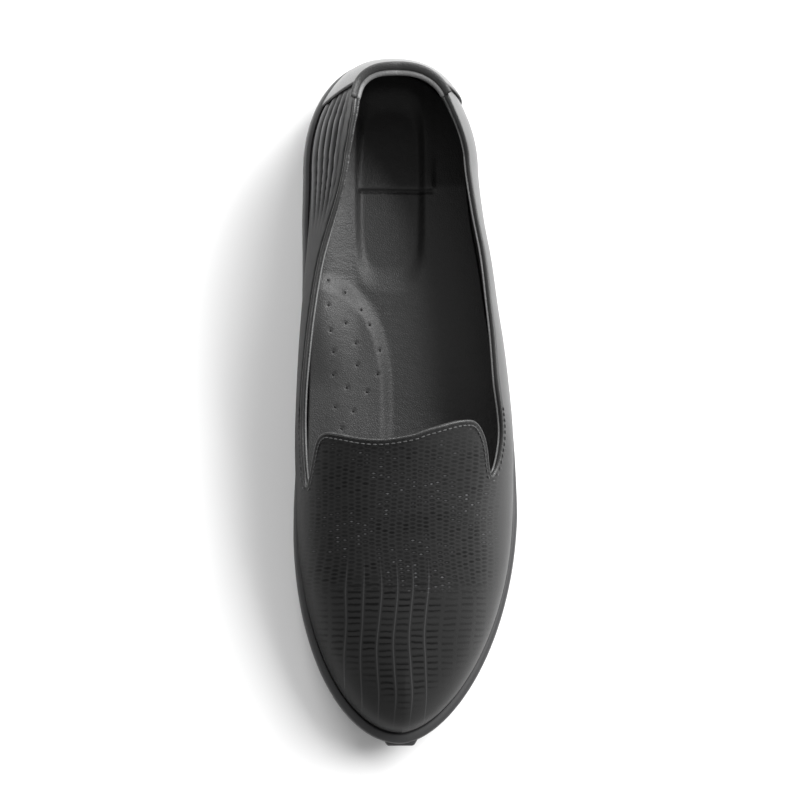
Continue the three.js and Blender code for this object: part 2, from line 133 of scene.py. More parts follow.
SECTIONS = tuple(Section(*row) for row in (
    (-1, 1.75, 1.44, 1.44, 0, 0), (-0.6, 1.7, 1.35, 1.4, 0.1, 0.2), (-0.3, 1.6, 2.1, 1.5, 0.3, 0.6),
    (0, 1.5, 2.2, 1.25, 0.5, 0.9), (0.3, 1.38, 0.95, 1, 0.8, 0.9), (0.6, 1.18, 0.45, 0.96, 1.1, 0.7),
    (0.78, 0.99, 0.42, 0.82, 1.2, 0.5), (1, 0.86, 0.48, 1.2, 0.7, 0.35), (1.14, 0.8, 0.65, 1.1, 0.45, 0.3),
    (1.37, 0.72, 0.82, 0.95, 0.25, 0.2), (1.69, 0.645, 0.86, 0.88, 0.1, 0.1), (2, 0.62, 0.85, 0.85, 0, 0),
))


def column(table: Sequence, name: str, at: float) -> float:
    """Read one column of a table on a smooth curve that is level at both ends.

    Args:
        table: rows with an at value in rising order.
        name: the column.
        at: the place to read.

    Returns:
        The column's value there.
    """
    last = len(table) - 1
    row = int(clamp(bisect_right([r.at for r in table], at) - 1, 0, last - 1))

    def slope(i: int) -> float:
        """Return the curve's slope at a row."""
        if i <= 0 or i >= last:
            return 0.0
        rise = getattr(table[i + 1], name) - getattr(table[i - 1], name)
        return rise / (table[i + 1].at - table[i - 1].at)

    low, high = table[row], table[row + 1]
    span = high.at - low.at
    u = clamp((at - low.at) / span)
    start, end = getattr(low, name), getattr(high, name)
    return (
        start * (1 + 2 * u) * (1 - u) ** 2
        + end * u * u * (3 - 2 * u)
        + slope(row) * span * u * (1 - u) ** 2
        - slope(row + 1) * span * u * u * (1 - u)
    )


@dataclass(frozen=True)
class Rib:
    """One half section of the last, from the feather line up to the crown, in millimetres."""

    foot: Vector
    top: Vector
    lean: float
    bulge: float
    tilt: float

    def point(self, rise: float) -> Vector:
        """Return the point at a share of the way up the rib."""
        turn = clamp(rise) ** (1 / self.lean) * math.pi / 2
        away = math.cos(turn)
        climb = math.sin(turn) ** self.lean
        swell = self.bulge * math.sin(math.pi * climb**0.55) ** 2
        reach = math.hypot(self.foot.x - self.top.x, self.foot.y - self.top.y) or 1.0
        spread = away + swell / reach
        y = lerp(self.top.y, self.foot.y, spread)
        drop = self.tilt * (y - self.top.y) * climb**2
        return Vector((lerp(self.top.x, self.foot.x, spread), y, lerp(self.foot.z, self.top.z, climb) + drop))

    def rise_at(self, loft: float) -> float:
        """Return the rise that lies a loft above the feather line."""
        climb = loft / (self.top.z - self.foot.z)
        return (2 * math.asin(climb ** (1 / self.lean)) / math.pi) ** self.lean


@dataclass(frozen=True)
class Last:
    """The form on which the shoe is made, in millimetres."""

    sole_length: float = 258
    heel_back: float = 36
    ball_width: float = 85
    heel_width: float = 66
    heel_round: float = 44
    toe_round: float = 85
    toe_swing: float = 6.5
    toe_turn: float = 2.4
    heel_squareness: float = 2.2
    toe_point: float = 1.15
    heel_thickness: float = 20
    ball_thickness: float = 10.5
    arch_lift: float = 2.5
    toe_spring: float = 8
    toe_rise: float = 6.5
    wall: float = 2.2
    collar_pad: float = 1.2
    rim_side: float = 2.8
    rim_waist: float = 1.6
    rim_heel: float = 3
    rim_toe: float = 4.4
    instep_height: float = 64
    spine_to_toe: float = 60
    bulge: float = 3
    fit_gap: float = 0.3
    heel_flat_end: float = 0.24
    ball_flat_start: float = 0.52
    ball_flat_end: float = 0.72
    seat_drop_start: float = 0.2
    seat_drop_end: float = 0.62

    @property
    def heel_line(self) -> float:
        """Place of the heel line along the length."""
        return self.heel_back - self.heel_round

    @property
    def ball_line(self) -> float:
        """Place of the ball line along the length."""
        return self.heel_back - self.sole_length + self.toe_round

    def along(self, y: float) -> float:
        """Return a place as a share of the length from the heel."""
        return (self.heel_back - y) / self.sole_length

    def ground(self, y: float) -> float:
        """Return the height of the sole's underside."""
        share = self.along(y)
        if share > self.ball_flat_end:
            return self.toe_spring * ((share - self.ball_flat_end) / (1 - self.ball_flat_end)) ** 2
        if self.heel_flat_end < share < self.ball_flat_start:
            arch = (share - self.heel_flat_end) / (self.ball_flat_start - self.heel_flat_end)
            return self.arch_lift * math.sin(math.pi * arch) ** 2
        return 0.0

    def seat(self, y: float) -> float:
        """Return the height of the sole's top."""
        share = self.along(y)
        drop = smooth((share - self.seat_drop_start) / (self.seat_drop_end - self.seat_drop_start))
        toe = max(0.0, (share - self.ball_flat_end) / (1 - self.ball_flat_end))
        return lerp(self.heel_thickness, self.ball_thickness, drop) + self.toe_rise * toe**2

    def outline(self, at: float, side: Side) -> tuple[float, float]:
        """Return the sole's outline at a station."""
        sign = side.value
        if at <= 0:
            turn = (at + 1) * math.pi / 2
            power = 2 / self.heel_squareness
            x = sign * self.heel_width / 2 * max(0.0, math.sin(turn)) ** power
            return x, self.heel_line + self.heel_round * max(0.0, math.cos(turn)) ** power
        if at >= 1:
            turn = (2 - at) * math.pi / 2
            middle = self.toe_swing - self.toe_turn * math.cos(turn)
            spread = max(0.0, math.sin(turn)) ** (self.toe_point if side is Side.OUTER else 1)
            x = middle + sign * self.ball_width / 2 * spread
            return x, self.ball_line - self.toe_round * math.cos(turn)
        grown = column(WAIST, side.word, at)
        ball = self.ball_width / 2 + sign * self.toe_swing
        return sign * lerp(self.heel_width / 2, ball, grown), lerp(self.heel_line, self.ball_line, at)

    def inset_outline(self, at: float, side: Side, inset: float) -> tuple[float, float]:
        """Return the outline moved inwards by a distance."""
        x, y = self.outline(at, side)
        if at <= -1:
            return 0.0, y - inset
        if at >= 2:
            return x, y + inset
        step = 1e-3
        x0, y0 = self.outline(max(-1.0, at - step), side)
        x1, y1 = self.outline(min(2.0, at + step), side)
        length = math.hypot(x1 - x0, y1 - y0)
        sign = side.value
        return x + sign * (y1 - y0) * inset / length, y - sign * (x1 - x0) * inset / length

    def rim(self, at: float, side: Side) -> float:
        """Return the width of the ledge around the upper."""
        if at < 0:
            return lerp(self.rim_side, self.rim_heel, smooth(-at))
        if at > 1:
            return lerp(self.rim_side, self.rim_toe, smooth(at - 1))
        if side is Side.OUTER:
            return self.rim_side
        return lerp(self.rim_side, self.rim_waist, math.sin(math.pi * at) ** 2)

    def crown(self, at: float, depth: float = 0.0) -> Vector:
        """Return the top of the last at a station."""
        if at > 1:
            turn = math.cos((2 - at) * math.pi / 2)
            x = self.toe_swing - self.toe_turn * turn
            y = self.ball_line - self.spine_to_toe * turn
        else:
            x = self.toe_swing * smooth(at)
            y = lerp(self.heel_line, self.ball_line, max(0.0, at))
        return Vector((x, y, self.instep_height * column(SECTIONS, "crown", at) - depth))

    def crown_slope(self) -> float:
        """Return the slope of the crown line over the toes."""
        back, front = self.crown(1.37), self.crown(1.69)
        return (back.z - front.z) / (back.y - front.y)

    def rib(self, at: float, side: Side, depth: float = 0.0) -> Rib:
        """Return the half section at a station, moved inwards by a depth."""
        x, y = self.inset_outline(at, side, self.rim(at, side) + depth)
        tilt = self.crown_slope() * smooth((at - 1) * 2) if at > 1 else 0.0
        return Rib(
            foot=Vector((x, y, self.seat(y) + self.fit_gap)),
            top=self.crown(at, depth),
            lean=column(SECTIONS, side.word + "_lean", at),
            bulge=self.bulge * column(SECTIONS, side.word + "_bulge", at),
            tilt=tilt,
        )

    def skin(self, at: float, mark: float, depth: float = 0.0) -> Vector:
        """Return a point of the surface.

        Args:
            at: the station, from -1 at the back to 2 at the toe tip.
            mark: 0 on the crown, 1 on the outer and -1 on the inner feather line.
            depth: distance inwards.

        Returns:
            The point in millimetres.
        """
        return self.rib(clamp(at, -1, 2), Side.of(mark), depth).point(1 - abs(mark))

    def wall_at(self, at: float) -> float:
        """Return the thickness of the upper."""
        return self.wall + self.collar_pad * smooth(-at)


@dataclass(frozen=True)
class Edge:
    """One point of the opening's edge: side, station and rise."""

    side: Side
    at: float
    rise: float


OUT, IN = Side.OUTER, Side.INNER
TOPLINE = tuple(Edge(*row) for row in (
    (OUT, -1, 0.33), (OUT, -0.55, 0.35), (OUT, -0.13, 0.35), (OUT, 0.17, 0.33), (OUT, 0.44, 0.36),
    (OUT, 0.66, 0.405), (OUT, 0.8, 0.43), (OUT, 0.865, 0.443), (OUT, 0.888, 0.475), (OUT, 0.865, 0.515),
    (OUT, 0.77, 0.61), (OUT, 0.741, 0.66), (OUT, 0.738, 0.74), (OUT, 0.763, 0.92), (IN, 0.792, 0.912),
    (IN, 0.775, 0.74), (IN, 0.771, 0.67), (IN, 0.79, 0.615), (IN, 0.888, 0.54), (IN, 0.917, 0.5),
    (IN, 0.902, 0.473), (IN, 0.763, 0.425), (IN, 0.6, 0.415), (IN, 0.45, 0.385), (IN, 0.2, 0.32),
    (IN, -0.03, 0.305), (IN, -0.36, 0.32), (IN, -0.65, 0.345),
))


def catmull(a: Vector, b: Vector, c: Vector, d: Vector, u: float) -> Vector:
    """Return a point between b and c on the centripetal curve through four points."""
    t1 = (b - a).length ** 0.5 or 1e-4
    t2 = t1 + ((c - b).length ** 0.5 or 1e-4)
    t3 = t2 + ((d - c).length ** 0.5 or 1e-4)
    t = lerp(t1, t2, u)
    a1 = a * ((t1 - t) / t1) + b * (t / t1)
    a2 = b * ((t2 - t) / (t2 - t1)) + c * ((t - t1) / (t2 - t1))
    a3 = c * ((t3 - t) / (t3 - t2)) + d * ((t - t2) / (t3 - t2))
    b1 = a1 * ((t2 - t) / t2) + a2 * (t / t2)
    b2 = a2 * ((t3 - t) / (t3 - t1)) + a3 * ((t - t1) / (t3 - t1))
    return b1 * ((t2 - t) / (t2 - t1)) + b2 * ((t - t1) / (t2 - t1))


class Topline:
    """The edge of the opening as a closed line of (station, mark) pairs."""

    def __init__(self, last: Last, steps: int = 24) -> None:
        """Work out the line.

        Args:
            last: the form that it lies on.
            steps: points between two rows of the table.
        """
        self.last = last
        knots = [Vector((e.at, e.side.value * (1 - e.rise))) for e in TOPLINE]
        knots.append(Vector((-1, -knots[0].y)))
        knots = [2 * knots[0] - knots[1], *knots, 2 * knots[-1] - knots[-2]]
        self.line: list[Vector] = []
        for i in range(1, len(knots) - 2):
            for k in range(steps):
                self.line.append(catmull(*knots[i - 1 : i + 3], k / steps))

    def crossings(self, at: float) -> list[float]:
        """Return the sorted marks where the line crosses a station."""
        marks = []
        for p, q in zip(self.line, self.line[1:] + [Vector((-1, self.line[0].y * -1))]):
            if (p.x <= at) != (q.x <= at):
                marks.append(lerp(p.y, q.y, (at - p.x) / (q.x - p.x)))
        return sorted(marks)

    def spaced(self, pitch: float, depth: float = 0.0, start: float = 0.0) -> list[Vector]:
        """Return (station, mark) pairs at an even distance along the line.

        Args:
            pitch: distance in millimetres.
            depth: depth at which the distance is measured.
            start: length left out before the first pair.

        Returns:
            The pairs, once around the opening.
        """
        places = [self.last.skin(p.x, p.y, depth) for p in self.line]
        gone = [0.0]
        for a, b in zip(places, places[1:] + places[:1]):
            gone.append(gone[-1] + (b - a).length)
        count = int((gone[-1] - start) / pitch)
        pairs = []
        i = 0
        for k in range(count):
            want = start + k * (gone[-1] - start) / count
            while gone[i + 1] < want:
                i += 1
            p = self.line[i]
            q = self.line[i + 1] if i + 1 < len(self.line) else Vector((-1, -self.line[0].y))
            pairs.append(p.lerp(q, (want - gone[i]) / max(1e-9, gone[i + 1] - gone[i])))
        return pairs


@dataclass(frozen=True)
class EdgeFrame:
    """A place on the topline with its own axes, in millimetres."""

    spot: Vector
    along: Vector
    outwards: Vector
    down: Vector
    at: float
    mark: float


def edge_frames(topline: Topline, pitch: float) -> list[EdgeFrame]:
    """Return frames along the topline.

    Args:
        topline: the line.
        pitch: distance between frames in millimetres.

    Returns:
        Frames whose down axis lies in the leather and points away from the opening.
    """
    last = topline.last
    pairs = topline.spaced(pitch)
    spots = [last.skin(p.x, p.y) for p in pairs]
    frames = []
    for i, (pair, spot) in enumerate(zip(pairs, spots)):
        along = (spots[(i + 1) % len(spots)] - spots[i - 1]).normalized()
        outwards = (spot - last.skin(pair.x, pair.y, 1.0)).normalized()
        down = outwards.cross(along).normalized()
        outwards = along.cross(down).normalized()
        frames.append(EdgeFrame(spot, along, outwards, down, pair.x, pair.y))
    return frames


# Making meshes


def deselect() -> None:
    """Deselect every object."""
    bpy.ops.object.select_all(action="DESELECT")


def activate(piece: Piece) -> None:
    """Make one object the only selected and active one."""
    deselect()
    piece.select_set(True)
    bpy.context.view_layer.objects.active = piece


def new_object(name: str, points: Sequence[Vector], faces: Sequence[Sequence[int]]) -> Piece:
    """Make a smooth mesh object from points in metres."""
    mesh = bpy.data.meshes.new(name)
    mesh.from_pydata(points, [], faces)
    mesh.validate()
    mesh.shade_smooth()
    piece = bpy.data.objects.new(name, mesh)
    bpy.context.scene.collection.objects.link(piece)
    return piece


def grid_object(name: str, rows: Sequence[Row]) -> Piece:
    """Add a grid primitive and bring its points onto rows given in millimetres.

    Args:
        name: the piece's name.
        rows: rows of points, all of one length.

    Returns:
        The grid, smooth shaded, at the origin.
    """
    deselect()
    across, up = len(rows[0]), len(rows)
    bpy.ops.mesh.primitive_grid_add(x_subdivisions=across - 1, y_subdivisions=up - 1, size=1.0)
    piece = bpy.context.object
    piece.name = piece.data.name = name
    flat = [value * MM for row in rows for point in row for value in point]
    if len(piece.data.vertices) * 3 != len(flat):
        raise ValueError(f"{name}: the grid has {len(piece.data.vertices)} points, not {len(flat) // 3}")
    piece.data.vertices.foreach_set("co", flat)
    piece.data.update()
    piece.data.shade_smooth()
    return piece


def give_masks(piece: Piece, masks: Masks) -> None:
    """Store each list of values as a float attribute on the vertices."""
    for name, values in masks.items():
        layer = piece.data.attributes.new(name, "FLOAT", "POINT")
        layer.data.foreach_set("value", values)


def edit_all(piece: Piece, *steps: Callable[[], object]) -> None:
    """Run edit mode operators on the whole of a piece."""
    activate(piece)
    bpy.ops.object.mode_set(mode="EDIT")
    bpy.ops.mesh.select_all(action="SELECT")
    for step in steps:
        step()
    bpy.ops.object.mode_set(mode="OBJECT")


def turn_outwards(piece: Piece, towards: Vector | None = None) -> None:
    """Merge doubles and point all faces outwards.

    Args:
        piece: the piece.
        towards: for an open sheet, the way in which its middle face looks.
    """
    mesh = bpy.ops.mesh
    edit_all(
        piece,
        lambda: mesh.remove_doubles(threshold=MERGE_DISTANCE),
        lambda: mesh.normals_make_consistent(inside=False),
    )
    faces = piece.data.polygons
    if towards is not None and faces[len(faces) // 2].normal.dot(towards) < 0:
        edit_all(piece, mesh.flip_normals)


def apply_modifier(piece: Piece, kind: str, **values: object) -> None:
    """Add a modifier, set its values and apply it."""
    activate(piece)
    modifier = piece.modifiers.new(kind.lower(), kind)
    for name, value in values.items():
        setattr(modifier, name, value)
    bpy.ops.object.modifier_apply(modifier=modifier.name)


def oval(middle: float, wide: float, low: float, tall: float, count: int) -> Profile:
    """Return an oval of count (outwards, down) pairs in millimetres, half as wide and tall as given."""
    turns = [2 * math.pi * k / count for k in range(count)]
    return [(middle + wide * math.cos(t), low + tall * math.sin(t)) for t in turns]


def sweep(name: str, frames: Sequence[EdgeFrame], profile: Callable[[EdgeFrame], Profile]) -> Piece:
    """Sweep a closed profile along frames and cap both ends.

    Args:
        name: the piece's name.
        frames: places along the way.
        profile: gives (outwards, down) pairs in millimetres for a frame.

    Returns:
        The swept piece.
    """
    points: list[Vector] = []
    faces: list[list[int]] = []
    count = 0
    for f in frames:
        shape = profile(f)
        count = len(shape)
        points.extend(f.spot + f.outwards * out + f.down * down for out, down in shape)
    total = len(frames)
    for a in range(0, (total - 1) * count, count):
        for k in range(count):
            n = (k + 1) % count
            faces.append([a + k, a + count + k, a + count + n, a + n])
    faces.append([k for k in range(count)])
    faces.append([(total - 1) * count + k for k in reversed(range(count))])
    piece = new_object(name, [p * MM for p in points], faces)
    turn_outwards(piece)
    return piece


def scatter(name: str, model: Piece, places: Sequence[Matrix]) -> Piece:
    """Copy a small model to many places as one mesh and remove the model."""
    points = [v.co.copy() for v in model.data.vertices]
    shapes = [list(p.vertices) for p in model.data.polygons]
    all_points = [place @ p for place in places for p in points]
    all_faces = [[i + n * len(points) for i in f] for n in range(len(places)) for f in shapes]
    bpy.data.objects.remove(model, do_unlink=True)
    return new_object(name, all_points, all_faces)


# Shader work


class Graph:
    """Builds nodes in a node tree with short calls."""

    def __init__(self, tree: bpy.types.NodeTree) -> None:
        """Keep the tree."""
        self.tree = tree

    def add(self, kind: str, **values: object) -> bpy.types.Node:
        """Add a node and set its properties."""
        node = self.tree.nodes.new(kind)
        for name, value in values.items():
            setattr(node, name, value)
        return node

    def put(self, socket: Socket, value: object) -> None:
        """Link a socket to another one, or set its value."""
        if isinstance(value, Socket):
            self.tree.links.new(value, socket)
        else:
            socket.default_value = value

    def math(self, operation: str, *values: object) -> Socket:
        """Add a math node and return its output."""
        node = self.add("ShaderNodeMath", operation=operation)
        for socket, value in zip(node.inputs, values):
            self.put(socket, value)
        return node.outputs[0]

    def times(self, a: object, b: object) -> Socket:
        """Return a times b."""
        return self.math("MULTIPLY", a, b)

    def plus(self, a: object, b: object) -> Socket:
        """Return a plus b."""
        return self.math("ADD", a, b)

    def minus(self, a: object, b: object) -> Socket:
        """Return a minus b."""
        return self.math("SUBTRACT", a, b)

    def times_plus(self, a: object, b: object, c: object) -> Socket:
        """Return a times b, plus c."""
        return self.math("MULTIPLY_ADD", a, b, c)

    def from_middle(self, place: object) -> Socket:
        """Return how far a place is from the middle of its cell, 0 there and 1 at the border."""
        return self.times(self.math("ABSOLUTE", self.minus(self.math("FRACT", place), 0.5)), 2.0)

    def step(self, value: object, low: float, high: float, start: float = 0.0, end: float = 1.0) -> Socket:
        """Map a value smoothly from low..high to start..end."""
        node = self.add("ShaderNodeMapRange", interpolation_type="SMOOTHSTEP")
        names = ("Value", "From Min", "From Max", "To Min", "To Max")
        for name, given in zip(names, (value, low, high, start, end)):
            self.put(node.inputs[name], given)
        return node.outputs[0]

    def mix(self, share: object, first: object, second: object) -> Socket:
        """Mix two colours."""
        node = self.add("ShaderNodeMix", data_type="RGBA")
        self.put(node.inputs[0], share)
        self.put(node.inputs[6], first)
        self.put(node.inputs[7], second)
        return node.outputs[2]

    def noise(self, vector: object, scale: float, detail: float = 3.0, rough: float = 0.55) -> Socket:
        """Add a noise texture and return its value."""
        node = self.add("ShaderNodeTexNoise")
        self.put(node.inputs["Vector"], vector)
        for name, value in (("Scale", scale), ("Detail", detail), ("Roughness", rough)):
            node.inputs[name].default_value = value
        return node.outputs[0]

    def bump(self, normal: Socket, height: object, distance: float, strength: float) -> None:
        """Bump a shader's normal by a height."""
        node = self.add("ShaderNodeBump")
        node.inputs["Distance"].default_value = distance
        node.inputs["Strength"].default_value = strength
        self.put(node.inputs["Height"], height)
        self.put(normal, node.outputs[0])

    def attribute(self, name: str) -> Socket:
        """Read a float attribute."""
        return self.add("ShaderNodeAttribute", attribute_name=name).outputs["Fac"]

    def group(self, tree: bpy.types.NodeTree, **values: object) -> bpy.types.Node:
        """Place a node group and set its inputs."""
        node = self.add("ShaderNodeGroup", node_tree=tree)
        for name, value in values.items():
            self.put(node.inputs[name.replace("_", " ")], value)
        return node


def grey(value: float, blue: float | None = None) -> tuple[float, float, float, float]:
    """Return a grey, or a cool one with its own share of blue."""
    return value, value, value if blue is None else blue, 1.0


def new_group(name: str, inputs: dict[str, float], outputs: Sequence[str]) -> tuple:
    """Make an empty shader group that reads a vector.

    Args:
        name: the group's name.
        inputs: the default of each number that goes in, besides the vector.
        outputs: the name of each number that comes out.

    Returns:
        The tree, a Graph on it, the sockets of its inputs and those of its outputs.
    """
    tree = bpy.data.node_groups.new(name, "ShaderNodeTree")
    tree.interface.new_socket("Vector", in_out="INPUT", socket_type="NodeSocketVector")
    for word, default in inputs.items():
        socket = tree.interface.new_socket(word, in_out="INPUT", socket_type="NodeSocketFloat")
        socket.default_value = default
    for word in outputs:
        tree.interface.new_socket(word, in_out="OUTPUT", socket_type="NodeSocketFloat")
    graph = Graph(tree)
    return tree, graph, graph.add("NodeGroupInput").outputs, graph.add("NodeGroupOutput").inputs


def grain_group() -> bpy.types.NodeTree:
    """Fine leather grain: small cells, soft folds and slanting wrinkles."""
    defaults = {"Cell": 900.0, "Crease": 0.3, "Wrinkle": 0.0}
    tree, g, take, give = new_group("leather_grain", defaults, ("Height", "Tone"))
    vector = take["Vector"]
    cell = g.add("ShaderNodeTexVoronoi", feature="DISTANCE_TO_EDGE")
    g.put(cell.inputs["Vector"], vector)
    g.put(cell.inputs["Scale"], take["Cell"])
    pebble = g.step(cell.outputs["Distance"], 0.0, 0.25)
    crease = g.math("ABSOLUTE", g.minus(g.noise(vector, 230.0, 4.0, 0.62), 0.5))
    fold = g.step(crease, 0.0, 0.07)
    slant = g.add("ShaderNodeMapping")
    g.put(slant.inputs["Vector"], vector)
    slant.inputs["Rotation"].default_value = (0.0, 0.0, 0.75)
    slant.inputs["Scale"].default_value = (1.0, 2.4, 1.0)
    pull = g.step(g.noise(slant.outputs[0], 150.0, 3.0, 0.6), 0.3, 0.7)
    height = g.plus(g.times(pebble, 0.45), g.times(fold, take["Crease"]))
    g.put(give["Height"], g.plus(height, g.times(pull, take["Wrinkle"])))
    g.put(give["Tone"], g.noise(vector, 45.0, 2.0))
    return tree


@dataclass(frozen=True)
class PrintSizes:
    """Sizes of the embossed lizard print, in metres."""

    plate_width: float = 0.0058
    plate_length: float = 0.00235
    first_column: float = -0.0175
    plate_sway: float = 0.005
    bead_width: float = 0.0025
    bead_length: float = 0.00148
    bead_sway: float = 0.009


def lattice_group() -> bpy.types.NodeTree:
    """Cells in columns: how far a place is from its cell's middle, and a random value for the cell."""
    defaults = {"Width": 0.0025, "Length": 0.0015, "First": 0.0, "Stagger": 0.5, "Sway": 0.0015}
    tree, g, take, give = new_group("scale_lattice", defaults, ("Across", "Along", "Random"))
    parts = g.add("ShaderNodeSeparateXYZ")
    g.put(parts.inputs[0], take["Vector"])
    slow = g.minus(g.noise(take["Vector"], 26.0, 1.0), 0.5)
    fine = g.minus(g.noise(take["Vector"], 210.0, 2.0), 0.5)
    x = g.times_plus(slow, take["Sway"], parts.outputs["X"])
    column_place = g.math("DIVIDE", g.minus(x, take["First"]), take["Width"])
    number = g.math("FLOOR", column_place)
    odd = g.times(g.math("MODULO", number, 2.0), take["Stagger"])
    shift = g.add("ShaderNodeTexWhiteNoise", noise_dimensions="1D")
    g.put(shift.inputs["W"], number)
    offset = g.plus(odd, g.times(shift.outputs["Value"], 0.3))
    row_place = g.plus(g.math("DIVIDE", parts.outputs["Y"], take["Length"]), g.times_plus(fine, 0.5, offset))
    cell = g.add("ShaderNodeCombineXYZ")
    g.put(cell.inputs[0], number)
    g.put(cell.inputs[1], g.math("FLOOR", row_place))
    chance = g.add("ShaderNodeTexWhiteNoise", noise_dimensions="2D")
    g.put(chance.inputs["Vector"], cell.outputs[0])
    g.put(give["Across"], g.from_middle(column_place))
    g.put(give["Along"], g.from_middle(row_place))
    g.put(give["Random"], chance.outputs["Value"])
    return tree


def print_group(sizes: PrintSizes, lattice: bpy.types.NodeTree) -> bpy.types.NodeTree:
    """Embossed print: long plates with cross grooves over the toes, small beads over the instep, and painted
    glints on some beads.

    Args:
        sizes: the sizes of plates and beads.
        lattice: the group that lays them out.

    Returns:
        The group.
    """
    defaults = {"Plates": 0.0, "Lines": 0.0, "Beads": 0.0}
    tree, g, take, give = new_group("lizard_print", defaults, ("Height", "Groove", "Ridge", "Painted_Glint"))
    plate = g.group(
        lattice, Vector=take["Vector"], Width=sizes.plate_width, Length=sizes.plate_length,
        First=sizes.first_column, Stagger=0.0, Sway=sizes.plate_sway,
    ).outputs
    bead = g.group(
        lattice, Vector=take["Vector"], Width=sizes.bead_width, Length=sizes.bead_length,
        First=0.0, Stagger=0.5, Sway=sizes.bead_sway,
    ).outputs
    inner = g.step(plate["Across"], 0.62, 0.9, 1.0, 0.0)
    cut = g.times(g.step(plate["Along"], 0.35, 0.9), g.times(inner, g.times_plus(plate["Random"], 0.6, 0.4)))
    cut = g.times(cut, take["Plates"])
    ridge = g.times(g.step(plate["Across"], 0.86, 1.0), take["Lines"])
    wide = g.times(g.math("POWER", bead["Across"], 2.0), 0.6)
    away = g.math("SQRT", g.plus(wide, g.math("POWER", bead["Along"], 2.0)))
    pit = g.times(g.step(away, 0.35, 0.95, 1.0, 0.0), g.times_plus(bead["Random"], 0.6, 0.4))
    pit = g.times(pit, take["Beads"])
    patchy = g.step(g.noise(take["Vector"], 60.0, 2.0), 0.4, 0.6)
    dot = g.step(g.plus(g.times(bead["Across"], 0.7), bead["Along"]), 0.15, 0.6, 1.0, 0.0)
    # painted glints: bright dots on some beads, in patches
    painted_glint = g.times(g.step(bead["Random"], 0.5, 1.05), g.times(patchy, dot))
    height = g.minus(g.times(ridge, 0.15), g.times(pit, 0.22))
    g.put(give["Height"], g.minus(height, g.times(cut, 0.12)))
    g.put(give["Groove"], g.math("MAXIMUM", cut, pit))
    g.put(give["Painted_Glint"], g.times(painted_glint, take["Beads"]))
    g.put(give["Ridge"], ridge)
    return tree


def start_material(name: str) -> tuple:
    """Start a material.

    Args:
        name: the finish's name.

    Returns:
        The material, a Graph on its tree, its shader's inputs and the place on the object.
    """
    material = bpy.data.materials.new(name)
    material.use_nodes = True
    g = Graph(material.node_tree)
    inputs = material.node_tree.nodes["Principled BSDF"].inputs
    return material, g, inputs, g.add("ShaderNodeTexCoord").outputs["Object"]


@dataclass(frozen=True)
class LeatherFinish:
    """A leather finish: colour, gloss and grain."""

    name: str
    base: float
    light: float
    roughness: float
    cell: float
    crease: float
    bump: float
    coat: float = 0.0
    specular: float = 0.5
    printed: bool = False
    wrinkled: bool = False
    wrinkle: float = 0.0

    def build(self, groups: dict[str, bpy.types.NodeTree]) -> bpy.types.Material:
        """Build the material.

        Args:
            groups: shared shader groups by name.

        Returns:
            The material.
        """
        material, g, shader, spot = start_material(self.name)
        grain = g.group(
            groups["leather_grain"], Vector=spot, Cell=self.cell, Crease=self.crease, Wrinkle=self.wrinkle
        )
        tone = grain.outputs["Tone"]
        colour = g.mix(tone, grey(self.base), grey(self.light))
        if self.wrinkled:
            g.put(grain.inputs["Wrinkle"], g.attribute("wrinkle"))
            # painted shade on the sock: the patch's edge slit, the recess's right wall and the heel patch turn
            # near black
            colour = g.mix(g.attribute("painted_light"), colour, grey(0.001))
        height = g.times(grain.outputs["Height"], self.bump)
        rough = g.times_plus(tone, 0.12, self.roughness - 0.06)
        if self.printed:
            masks = {word.capitalize(): g.attribute(word) for word in ("plates", "lines", "beads")}
            relief = g.group(groups["lizard_print"], Vector=spot, **masks).outputs
            height = g.plus(height, relief["Height"])
            # painted shade: the band along the quarters' topline, the pleat folds and the inner side near the
            # feather line turn near black
            seam = g.attribute("seam")
            # each pair below mixes in painted shade, a painted highlight or a painted glint
            for share, painted_light in (
                # painted shade: the grooves and bead pits turn near black
                (g.times(relief["Groove"], 0.92), grey(0.0008)),
                # painted highlight: the raised ridge lines between the plate columns are lighter
                (g.times(relief["Ridge"], 0.6), grey(0.06, 0.061)),
                # painted glint: bright dots on the beads
                (relief["Painted_Glint"], grey(0.11, 0.113)),
                # painted highlight on the pleat ridges
                (g.attribute("pleat_highlight"), grey(0.14, 0.143)),
                # painted shade along the topline band, in the pleat folds and low on the inner side
                (seam, grey(0.001)),
            ):
                colour = g.mix(share, colour, painted_light)
            for share, gain in ((relief["Groove"], 0.45), (seam, 0.4), (relief["Painted_Glint"], -0.2)):
                rough = g.times_plus(share, gain, rough)
        g.bump(shader["Normal"], height, 0.00035, 1.0)
        g.put(shader["Base Color"], colour)
        g.put(shader["Roughness"], rough)
        g.put(shader["Coat Weight"], g.attribute("gloss") if self.printed else self.coat)
        shader["Coat Roughness"].default_value = 0.3
        shader["Specular IOR Level"].default_value = self.specular
        return material


@dataclass(frozen=True)
class RubberFinish:
    """Moulded rubber with a fine spark texture."""

    name: str = "moulded_rubber"
    base: float = 0.032
    blue: float = 0.033
    dust: float = 0.045
    roughness: float = 0.4

    def build(self) -> bpy.types.Material:
        """Build the material."""
        material, g, shader, spot = start_material(self.name)
        dust = g.step(g.noise(spot, 60.0, 4.0), 0.5, 0.75)
        g.bump(shader["Normal"], g.noise(spot, 1600.0, 2.0), 0.00005, 0.5)
        g.put(shader["Base Color"], g.mix(dust, grey(self.base, self.blue), grey(self.dust)))
        g.put(shader["Roughness"], g.step(dust, 0.0, 1.0, self.roughness, self.roughness + 0.12))
        return material


@dataclass(frozen=True)
class ThreadFinish:
    """Waxed black thread with a twist."""

    name: str = "waxed_thread"
    base: float = 0.03
    blue: float = 0.031
    light: float = 0.06

    def build(self) -> bpy.types.Material:
        """Build the material."""
        material, g, shader, spot = start_material(self.name)
        twist = g.noise(spot, 2600.0, 1.0)
        g.put(shader["Base Color"], g.mix(twist, grey(self.base, self.blue), grey(self.light)))
        shader["Roughness"].default_value = 0.5
        return material


